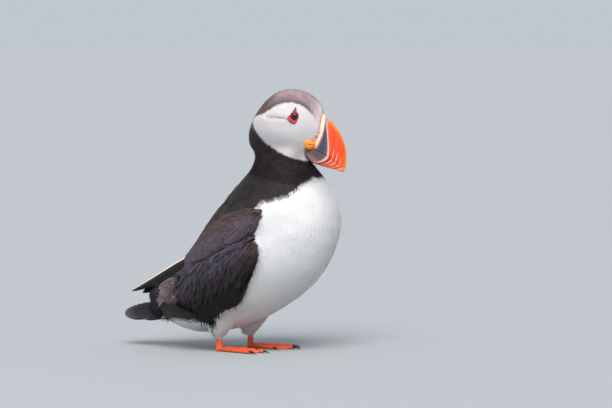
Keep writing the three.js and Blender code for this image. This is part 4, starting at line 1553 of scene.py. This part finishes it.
def vanesAlong(name, spine, up, across, roots, look):  # whole feathers, each a strip of five lanes
    count, steps = spine.shape[:2]
    lanes = np.array([-1, -0.5, 0, 0.5, 1.0])
    share = np.linspace(0, 1, steps)
    grid = (count, steps, len(lanes))
    width = roots["width"][:, None, None]
    profile = np.clip(share / 0.2, 0.25, 1) ** 0.6  # narrow at the root, for the first fifth
    fall = np.clip((share - look["taper"]) / (1 - look["taper"]), 0, 1)  # taper is where it begins to narrow
    profile = profile * (1 - (1 - look["tipWidth"]) * fall ** 2)
    half = width / 2 * profile[None, :, None] * (1 + dice.normal(0, look.get("ragged", 0.05), grid))
    pull = look.get("pull", 0.9) * lanes ** 2 * width / 2 * share[None, :, None] ** 3  # its sides trail
    camber = look["camber"] * width * lanes ** 2
    quill = look.get("quill", 0.10) * mm * (lanes == 0) * (1 - share[None, :, None])
    tangent = unit(np.gradient(spine, axis=1))
    verts = (spine[:, :, None, :] + across[:, :, None, :] * (lanes * half)[..., None]
             - tangent[:, :, None, :] * pull[..., None] + up[:, :, None, :] * (quill - camber)[..., None])
    # each vane is painted darker toward its root, a painted shade of the feathers lying over it
    shade = look["rootShade"] + (1 - look["rootShade"]) * smoothstep(0.0, 0.8, share)
    shade = shade[None, :, None] * (1 + dice.normal(0, look["variation"], (count, 1, 1)))
    shade = shade * (1 + dice.normal(0, 0.05, (count, 1, len(lanes))))
    tint = roots["colour"][:, None, None, :] * shade[..., None]
    worn = np.abs(lanes) ** 3 * look["rim"] * smoothstep(0.1, 0.7, share)[None, :, None]
    worn = worn + look["tip"] * smoothstep(0.82, 1.0, share)[None, :, None]
    worn = np.clip(worn, 0, 1) * dice.uniform(0.4, 1.0, (count, 1, 1))
    tint = blend(tint, roots["rim"][:, None, None, :], worn)
    if "edge" in roots:
        atEdge = (lanes * roots["edgeLane"] > look.get("edgeFrom", 0.75)) * np.ones(grid)
        tint = blend(tint, roots["edge"][:, None, None, :], atEdge)
    tint = blend(tint, tint * 0.45, (lanes == 0) * np.ones(grid) * look.get("shaft", 0.25))
    triangles = []
    wide = len(lanes)
    for first in range(wide * (steps - 1)):
        if first % wide < wide - 1:
            triangles += [(first, first + wide + 1, first + 1), (first, first + wide, first + wide + 1)]
    patch = np.stack([np.repeat(share - 0.5, wide), np.tile(lanes / 2, steps)], -1) * mapPatch
    barbs = np.stack([np.repeat(share, wide)[None] * roots["length"][:, None] / mm,
                      np.tile(lanes, steps)[None] * roots["width"][:, None] / 2 / mm], -1)
    shading = unit(up[:, :, None, :] + across[:, :, None, :] * (lanes * look["camber"] * 3)[:, None])
    uv = {"OFBake": roots["uv"][:, None, :] + patch[None], "barbs": barbs}
    return layInPieces(name, (verts, tint, shading), np.array(triangles), uv, wingVane, "black_feathers")


def layVanes(name, roots, look):  # each vane's spine lies on the coat's surface, or hangs free past its edge
    count, steps = len(roots["place"]), look["steps"]
    place, heading, normal = roots["place"].copy(), roots["heading"].copy(), roots["normal"].copy()
    spine, ups, acrosses = (np.empty((count, steps, 3)) for _ in range(3))
    stride = roots["length"][:, None] / (steps - 1)
    down = np.array([0, 0, -1.0])
    reach, close = 12 * mm, 6 * mm  # how far the surface is looked for, and how near it holds a vane
    for step in range(steps):
        if step:
            heading = unit(heading + down * look.get("droop", 0) * stride)
            place = place + heading * stride
        for index in range(count):
            hit, facing, _, away = coatTree.find_nearest(Vector(place[index]), reach)
            if hit is None:
                continue
            facing = np.array(facing)
            height = float((place[index] - np.array(hit)) @ facing)
            turned = float(facing @ roots["normal"][index])
            if height < 0 or (turned > look["cling"] and away < close):
                place[index] = np.array(hit)
                if turned > 0.3:
                    normal[index] = facing * 0.6 + normal[index] * 0.4
        normal = unit(normal)
        heading = unit(heading - normal * (heading * normal).sum(1, keepdims=True) * 0.9)
        lift = look["sink"] + (look["lift"] - look["sink"]) * step / (steps - 1)
        spine[:, step] = place + normal * lift * mm
        ups[:, step] = normal
        acrosses[:, step] = unit(np.cross(normal, heading))
    vanesAlong(name, spine, ups, acrosses, roots, look)


def atSurface(places):  # what the coat's surface is like nearest to some places
    found = {"place": [], "normal": [], "uv": [], "shares": []}
    for place in places:
        hit, facing, quad, _ = coatTree.find_nearest(Vector(place))
        found["place"].append(np.array(hit))
        found["normal"].append(np.array(facing))
        found["uv"].append(skinUv[quad].mean(0))
        found["shares"].append(quadShares[quad])
    return {key: np.array(value) for key, value in found.items()}


def onSide(spots, side):  # places on one side of the bird, given ahead and up in millimetres
    outside, missed = 75, 40  # where each look inward begins, and the place where it meets nothing
    places = []
    for x, z in spots:
        hit = coatTree.ray_cast(bird(x, outside * side, z), Vector((0, -side, 0)))[0]
        places.append(np.array(hit if hit is not None else bird(x, missed * side, z)))
    return atSurface(places)


def spaced(roots, distance):  # only roots that keep their distance from one another
    places, kept = roots["place"], []
    for index in dice.permutation(len(places)):
        if not kept or np.min(((places[kept] - places[index]) ** 2).sum(1)) > distance ** 2:
            kept.append(index)
    return onlySome(roots, np.array(kept))


def swung(roots, heading, turn):  # headings turned about the surface's normal, in degrees
    turn = np.radians(turn)[:, None]
    return heading * np.cos(turn) + np.cross(roots["normal"], heading) * np.sin(turn)


def dress(roots, heading, look, tint, rim):  # gives roots all that a vane needs
    count = len(roots["place"])
    heading = flatOn(roots["normal"], np.broadcast_to(heading, (count, 3)).astype(float))
    roots["heading"] = swung(roots, heading, dice.normal(0, look["jitter"], count))
    roots["length"] = look["length"] * dice.uniform(0.88, 1.12, count)
    roots["width"] = look["width"] * dice.uniform(0.9, 1.1, count)
    roots["colour"] = np.broadcast_to(tint, (count, 3)).astype(float)
    roots["rim"] = np.broadcast_to(rim, (count, 3)).astype(float)


def vaneMaterial(name, roughness, sheen):
    material, tree, shader = newMaterial(name, roughness, Sheen_Weight=sheen, Sheen_Roughness=0.5,
                                         Specular_IOR_Level=0.18)
    colour = addNode(tree, "ShaderNodeAttribute", attribute_name="plumage")
    tinted, _ = speckle(tree, colour.outputs["Color"], 500, 0.10)
    barbs = addNode(tree, "ShaderNodeUVMap", uv_map="barbs")
    parts = addNode(tree, "ShaderNodeSeparateXYZ")
    slant = addNode(tree, "ShaderNodeMath", operation="ABSOLUTE")
    lean = addNode(tree, "ShaderNodeMath", operation="MULTIPLY_ADD")  # the barbs leave the shaft at a slant
    lean.inputs[1].default_value = -0.8
    comb = addNode(tree, "ShaderNodeMath", operation="MULTIPLY")
    comb.inputs[1].default_value = 14.0  # about one barb in half a millimetre
    wave = addNode(tree, "ShaderNodeMath", operation="SINE")
    relief = addNode(tree, "ShaderNodeBump", Strength=0.35, Distance=0.0002)
    tree.links.new(barbs.outputs["UV"], parts.inputs["Vector"])
    tree.links.new(parts.outputs["Y"], slant.inputs[0])
    tree.links.new(slant.outputs[0], lean.inputs[0])
    tree.links.new(parts.outputs["X"], lean.inputs[2])
    tree.links.new(lean.outputs[0], comb.inputs[0])
    tree.links.new(comb.outputs[0], wave.inputs[0])
    tree.links.new(wave.outputs[0], relief.inputs["Height"])
    tree.links.new(relief.outputs["Normal"], shader.inputs["Normal"])
    tree.links.new(tinted, shader.inputs["Base Color"])
    return material


wingVane = vaneMaterial("wingFeather", 0.55, 0.03)

wingTints = {
    "slate": (0.082, 0.060, 0.084),
    "slateRim": (0.160, 0.115, 0.140),
    "browned": (0.070, 0.040, 0.034),
    "brownedRim": (0.200, 0.110, 0.085),
    # painted shade: dark lines in the gaps between overlapping feathers
    "gap": (0.004, 0.003, 0.003),
    # partly pale feather tips and partly a painted highlight on the lower lobe's top
    "comb": (0.055, 0.048, 0.066),
    "combRim": (0.20, 0.185, 0.23),
    # painted shade: the lower lobe's feathers darker toward its lower edge
    "middle": (0.022, 0.017, 0.021),
    "middleRim": (0.095, 0.078, 0.092),
    "low": (0.008, 0.006, 0.0065),
    "lowRim": (0.024, 0.017, 0.016),
    "fringe": (0.011, 0.0075, 0.007),
    "ruffled": (0.24, 0.19, 0.205),
    "ruffledRim": (0.62, 0.54, 0.57),
    "primary": (0.0045, 0.003, 0.0027),
    # a painted highlight along the folded blade's lit top edge
    "primaryLitEdge": (0.80, 0.68, 0.58),
    "tail": (0.016, 0.012, 0.020),
    # partly the tail feathers' own paler edges and partly a painted highlight along them
    "tailRim": (0.135, 0.115, 0.155),
}
tints = paints(wingTints)

# each kind of vane: its sizes, how it lies, sinks and lifts in millimetres, and how its tones run
shoulderVane = {"length": 9.5 * mm, "width": 4.4 * mm, "jitter": 5, "spacing": 2.5 * mm, "steps": 8,
                "sink": -0.6, "lift": 0.5, "cling": 0.55, "camber": 0.06, "tipWidth": 0.30, "taper": 0.5,
                "ragged": 0.10, "rim": 0.25, "tip": 0.30, "shaft": 0.08, "variation": 0.10, "rootShade": 0.7}
longVane = {"length": 23 * mm, "width": 2.4 * mm, "jitter": 2, "lie": (-0.86, -0.51), "steps": 10,
            "sink": 0.1, "lift": 1.1, "cling": 0.5, "camber": 0.16, "tipWidth": 0.3, "taper": 0.5,
            "rim": 0.25, "tip": 0.3, "shaft": 0.1, "variation": 0.06, "rootShade": 0.75}
hangingVane = {"length": 11.5 * mm, "width": 2.3 * mm, "jitter": 9, "spacing": 1.9 * mm, "steps": 8,
               "sink": -0.5, "lift": 0.9, "cling": 0.55, "droop": 12, "camber": 0.14, "tipWidth": 0.10,
               "taper": 0.25, "ragged": 0.14, "rim": 0.30, "tip": 0.40, "shaft": 0.1, "variation": 0.22,
               "rootShade": 0.5}
combVane = {**hangingVane, "length": 8.0 * mm, "width": 1.1 * mm, "jitter": 8, "lie": (-0.42, -0.91),
            "sink": 0.7, "lift": 2.0, "tip": 0.8, "steps": 6}
fringeVane = {"length": 13 * mm, "width": 1.5 * mm, "jitter": 7, "lie": (-0.16, -0.98), "steps": 7,
              "sink": -0.3, "lift": 1.2, "cling": 0.75, "droop": 20, "camber": 0.16, "tipWidth": 0.06,
              "taper": 0.2, "ragged": 0.12, "rim": 0.3, "tip": 0.2, "variation": 0.3, "rootShade": 0.7}
ruffledVane = {"length": 9 * mm, "width": 1.5 * mm, "jitter": 18, "lie": (-0.90, -0.44), "steps": 7,
               "sink": 0.7, "lift": 2.4, "cling": 0.6, "camber": 0.14, "tipWidth": 0.12, "taper": 0.3,
               "ragged": 0.12, "rim": 0.5, "tip": 0.6, "shaft": 0.45, "variation": 0.25, "rootShade": 0.4}
wingSpots = {  # ahead and up, in millimetres
    "bendFirst": (29.0, 110.6),  # roots of the long feathers at the bend: the first, and the last below it
    "bendLast": (22.4, 95.0),
    "bendCount": 12,
    "bendLong": (33, 20),  # how long the first and the last are
    "bendSwing": (5, -7),  # and how far they turn, in degrees
    "combCount": 90,
    "combStart": 6,  # the groove's first steps stay free of it
    "combUnder": 1.2,
    "fringeLine": [(12.5, 52), (6, 44), (-3, 40), (-12, 36), (-20, 35), (-28, 36)],
    "fringeLong": [17, 8, 9, 15, 23, 12],  # how far the fringe hangs under each of those
    "fringeCount": 520,
    "ruffledLow": (-68, 39),
    "ruffledHigh": (-42, 59),
    "ruffledCount": 300,
}


def growShoulders():
    roots = spaced(rootsIn(shoulderQuads, 0.9), shoulderVane["spacing"])
    roots.update(atSurface(roots["place"]))
    own = (roots["place"] - toRow) / mm
    top = smoothstep(0.5, 4.5, overLobe(own))
    rear = smoothstep(-20, -46, own[:, 0])
    worn = np.clip(0.75 * top + 0.45 * rear + dice.normal(0.0, 0.12, len(own)), 0, 1)
    lie = inSide(wingLie["shoulder"])
    groove = distanceTo(grooveCurve / mm, (own + lie * 6.5)[:, [0, 2]])
    shaded = bump(np.minimum(groove - 1, 0), 0, 3.2)  # the lobe's lower edge lies in the groove's shade
    tint = blend(blend(tints["slate"], tints["browned"], worn), tints["gap"], shaded * 0.75)
    rim = blend(blend(tints["slateRim"], tints["brownedRim"], worn), tints["gap"], shaded * 0.6)
    dress(roots, lie, shoulderVane, tint, rim)
    layVanes("shoulderVanes", roots, shoulderVane)


def growBend(which):  # the long feathers that hang over each wing's bend
    side = sides[which]
    share = np.linspace(0, 1, wingSpots["bendCount"])
    first, last = np.array(wingSpots["bendFirst"]), np.array(wingSpots["bendLast"])
    roots = onSide(first + (last - first) * share[:, None], side)
    dress(roots, inSide(longVane["lie"]), longVane, tints["slate"] * 1.1, tints["slateRim"])
    longest, shortest = wingSpots["bendLong"]
    roots["length"] = (longest + (shortest - longest) * share + dice.normal(0, 2, len(share))) * mm
    start, end = wingSpots["bendSwing"]
    roots["heading"] = swung(roots, roots["heading"], (start + (end - start) * share) * -side)
    # each one's lower edge is painted as a dark line, the painted shade between overlapping feathers
    roots.update(edge=tints["gap"], edgeLane=-side)
    layVanes(f"{which}BendVanes", roots, longVane)


def growCoverts():
    roots = spaced(rootsIn(covertQuads, 0.9), hangingVane["spacing"])
    roots.update(atSurface(roots["place"]))
    own = (roots["place"] - toRow) / mm
    down = underLobe(own) + dice.normal(0, 2.5, len(own))
    # lighter at the lobe's top, partly pale tips and partly a painted highlight, and darker toward its lower
    # edge, a painted shade
    tint = blend(tints["comb"], tints["middle"], smoothstep(4, 15, down))
    tint = blend(tint, tints["low"], smoothstep(16, 30, down))
    rim = blend(tints["combRim"], tints["middleRim"], smoothstep(4, 14, down))
    rim = blend(rim, tints["lowRim"], smoothstep(16, 28, down))
    browned = smoothstep(14, 26, own[:, 0]) * smoothstep(20, 5, down)
    tint = blend(tint, tints["browned"] * 0.6, browned)
    rim = blend(rim, tints["browned"], browned)
    dress(roots, roots["along"], hangingVane, tint, rim)
    kept = withinLobe(roots["place"], roots["heading"], hangingVane["length"])
    roots["length"] = roots["length"] * kept
    layVanes("covertVanes", onlySome(roots, kept > 0.3), hangingVane)


def growComb(which):  # thin feathers in a row under the groove, lighter: partly their pale tips and partly a painted highlight on the lobe's top
    count = wingSpots["combCount"]
    spots = grooveCurve[dice.integers(wingSpots["combStart"], len(grooveCurve), count)] / mm
    spots = spots + dice.normal(0, 0.5, (count, 2))
    roots = onSide(spots - [0, wingSpots["combUnder"]], sides[which])
    dress(roots, inSide(combVane["lie"]), combVane, tints["comb"] * 1.3, tints["combRim"])
    layVanes(f"{which}CombVanes", roots, combVane)


def growFringe(which):  # black feathers that hang from the wing's lower edge over the thigh
    line = curveThrough(wingSpots["fringeLine"], steps=12)
    long = curveThrough(np.array(wingSpots["fringeLong"])[:, None], steps=12)[:, 0]
    index = dice.integers(0, len(line), wingSpots["fringeCount"])
    roots = onSide(line[index] + dice.normal(0, 1.4, (len(index), 2)), sides[which])
    clump = 0.75 + 0.45 * np.sin(index * 0.85) ** 3
    dress(roots, inSide(fringeVane["lie"]), fringeVane, tints["fringe"], tints["lowRim"] * 1.5)
    roots["length"] = long[index] * clump * dice.uniform(0.8, 1.15, len(index)) * mm
    layVanes(f"{which}FringeVanes", roots, fringeVane)


def growRuffled(which):  # the pale feathers, out of order, behind the wing
    count = wingSpots["ruffledCount"]
    spots = dice.uniform(wingSpots["ruffledLow"], wingSpots["ruffledHigh"], (count, 2))
    roots = onSide(spots, sides[which])
    browned = np.clip((spots[:, 0] + 60) / 18 + dice.normal(0, 0.3, count), 0, 1)
    dress(roots, inSide(ruffledVane["lie"]), ruffledVane, blend(tints["ruffled"], tints["browned"], browned),
          blend(tints["ruffledRim"], tints["brownedRim"], browned))
    roots["length"] = roots["length"] * dice.uniform(0.6, 1.2, count)
    layVanes(f"{which}RuffledVanes", roots, ruffledVane)


growShoulders()
for which in sides:
    growBend(which)
growCoverts()
for which in sides:
    growComb(which)
    growFringe(which)
    growRuffled(which)

bladeEdges = {  # the folded flight feathers' edges, right side, millimetres in the bird's own frame
    "upper": [(-25.6, -38, 78.5), (-47, -21.5, 72.8), (-67.6, -14, 62.5), (-84.5, -9.5, 53),
              (-97, -8, 45.8), (-101, -8.6, 43.4)],
    "lower": [(-23.6, -42.8, 69), (-40.4, -34.9, 64.5), (-63.5, -24, 55), (-82, -17.5, 48.4),
              (-96, -12, 43.8), (-101, -9.4, 43)],
    "droop": {"left": 6, "right": 0},
    "count": 8,
    "steps": 16,
    "width": 6.4 * mm,
    "step": 0.34,  # how far one feather lies under the next
    "shorter": 0.052,  # and by how much of the blade it ends sooner
}
primaryVane = {"camber": 0.05, "rim": 0.25, "tip": 0.1, "variation": 0.08, "rootShade": 0.8, "tipWidth": 0.28,
               "taper": 0.66, "ragged": 0.015, "quill": 0.35, "shaft": 0.5, "pull": 0.5, "edgeFrom": 0.4}


def growPrimaries(which):
    side = sides[which]
    count, steps = bladeEdges["count"], bladeEdges["steps"]
    upper = np.array(bladeEdges["upper"], float) * [1, -side, 1]
    lower = np.array(bladeEdges["lower"], float) * [1, -side, 1]
    fall = np.linspace(0, 1, len(upper)) * bladeEdges["droop"][which]
    upper[:, 2] -= fall * 0.25
    lower[:, 2] -= fall
    spine, up, across = (np.empty((count, steps, 3)) for _ in range(3))
    for feather in range(count):
        place = feather / (count - 1)
        at = np.linspace(0.15, (len(upper) - 1) * (1 - bladeEdges["shorter"] * feather) - 0.05, steps)
        top, bottom = readAt(upper, at), readAt(lower, at)
        widthwise = unit(bottom - top)
        line = top + (bottom - top) * (0.22 + 0.46 * place)
        forward = unit(np.gradient(line, axis=0))
        facing = unit(np.cross(forward, widthwise))
        facing = facing * np.sign((facing[:, 1] * side).mean())
        line = line + facing * (0.9 - bladeEdges["step"] * feather)
        spine[feather] = line * mm + toRow
        up[feather] = facing
        across[feather] = np.cross(facing, forward)
    roots = atSurface(spine[:, 0])
    edge = np.repeat(tints["primary"], count, 0)
    edge[0] = tints["primaryLitEdge"]  # the outermost feather's lit top edge, a painted highlight
    roots.update(colour=tints["primary"], rim=tints["browned"] * 0.35, edge=edge, edgeLane=side,
                 width=np.full(count, bladeEdges["width"]),
                 length=np.linalg.norm(np.diff(spine, axis=1), axis=-1).sum(1))
    outer = vanesAlong(f"{which}Primaries", spine, up, across, roots, primaryVane)
    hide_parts(f"{which}_wing_primaries")


for which in sides:
    growPrimaries(which)

tailShape = {"root": -58, "length": 52, "halfWidth": 15.5, "height": 31.4, "roll": 27, "sag": 3.4,
             "count": 16, "steps": 12, "width": 7.6 * mm}
tailVane = {"camber": 0.16, "rim": 0.75, "tip": 0.6, "variation": 0.2, "rootShade": 0.5, "tipWidth": 0.45,
            "taper": 0.72, "ragged": 0.012, "quill": 0.3, "shaft": 0.35, "pull": 0.7}


def growTail():
    count = tailShape["count"]
    roll = math.radians(tailShape["roll"])
    place = np.linspace(-1, 1, count)
    reach = 0.60 + 0.42 * (1 - np.abs(place) ** 2.2) ** (1 / 2.2)
    share = np.linspace(0, 1, tailShape["steps"])[None, :]
    length = tailShape["length"] * reach
    x = tailShape["root"] - length[:, None] * share
    spread = place[:, None] * tailShape["halfWidth"] * (0.42 + 0.44 * share)
    lowered = np.abs(place)[:, None] * 1.5
    level = tailShape["height"] - tailShape["sag"] * (length[:, None] * share / tailShape["length"]) ** 2
    y = spread * math.cos(roll) + lowered * math.sin(roll)
    z = level + spread * math.sin(roll) - lowered * math.cos(roll)
    spine = np.stack([x, y, z], -1) * mm + toRow
    forward = unit(np.gradient(spine, axis=1))
    up = np.broadcast_to([0, -math.sin(roll), math.cos(roll)], spine.shape)
    across = unit(np.cross(up, forward))
    roots = atSurface(spine[:, 0])
    # the tail feathers' outer edges are painted as dark lines, a painted shade between them
    roots.update(colour=tints["tail"], rim=tints["tailRim"], edge=tints["gap"],
                 edgeLane=-np.sign(place)[:, None, None], width=np.full(count, tailShape["width"]),
                 length=length * mm)
    made = vanesAlong("tailFeathers", spine, up, across, roots, tailVane)
    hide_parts("tail")


growTail()

# the worn feathers of the back, between these heights and this far from the white, in millimetres
mantle = {"top": 119, "bottom": 50, "fromWhite": 9}
mantleVane = {"length": 7.5 * mm, "width": 2.9 * mm, "jitter": 8, "spacing": 2.5 * mm, "steps": 6,
              "sink": -0.6, "lift": 0.35, "cling": 0.5, "camber": 0.08, "tipWidth": 0.3, "taper": 0.45,
              "ragged": 0.12, "rim": 0.5, "tip": 0.9, "shaft": 0.1, "variation": 0.25, "rootShade": 0.6}


def growMantle():
    roots = spaced(rootsIn(trunkQuads, 0.5), mantleVane["spacing"])
    roots.update(atSurface(roots["place"]))
    own = (roots["place"] - toRow) / mm
    black = distanceTo(whiteLine / mm, own[:, [0, 2]]) < -mantle["fromWhite"]
    height = own[:, 2] + dice.normal(0, 7, len(own))  # they begin without a line
    roots = onlySome(roots, black & (height < mantle["top"]) & (height > mantle["bottom"]))
    tint = bodyColours(roots["place"])
    height = (roots["place"] - toRow)[:, 2] / mm
    worn = smoothstep(mantle["top"], 100, height) * dice.uniform(0.1, 1.0, len(height))
    dress(roots, roots["along"], mantleVane, tint, blend(tint * 1.3, tints["brownedRim"], worn))
    layVanes("mantleVanes", roots, mantleVane)


growMantle()
finishPiece(skin, "white_feathers", *flesh)
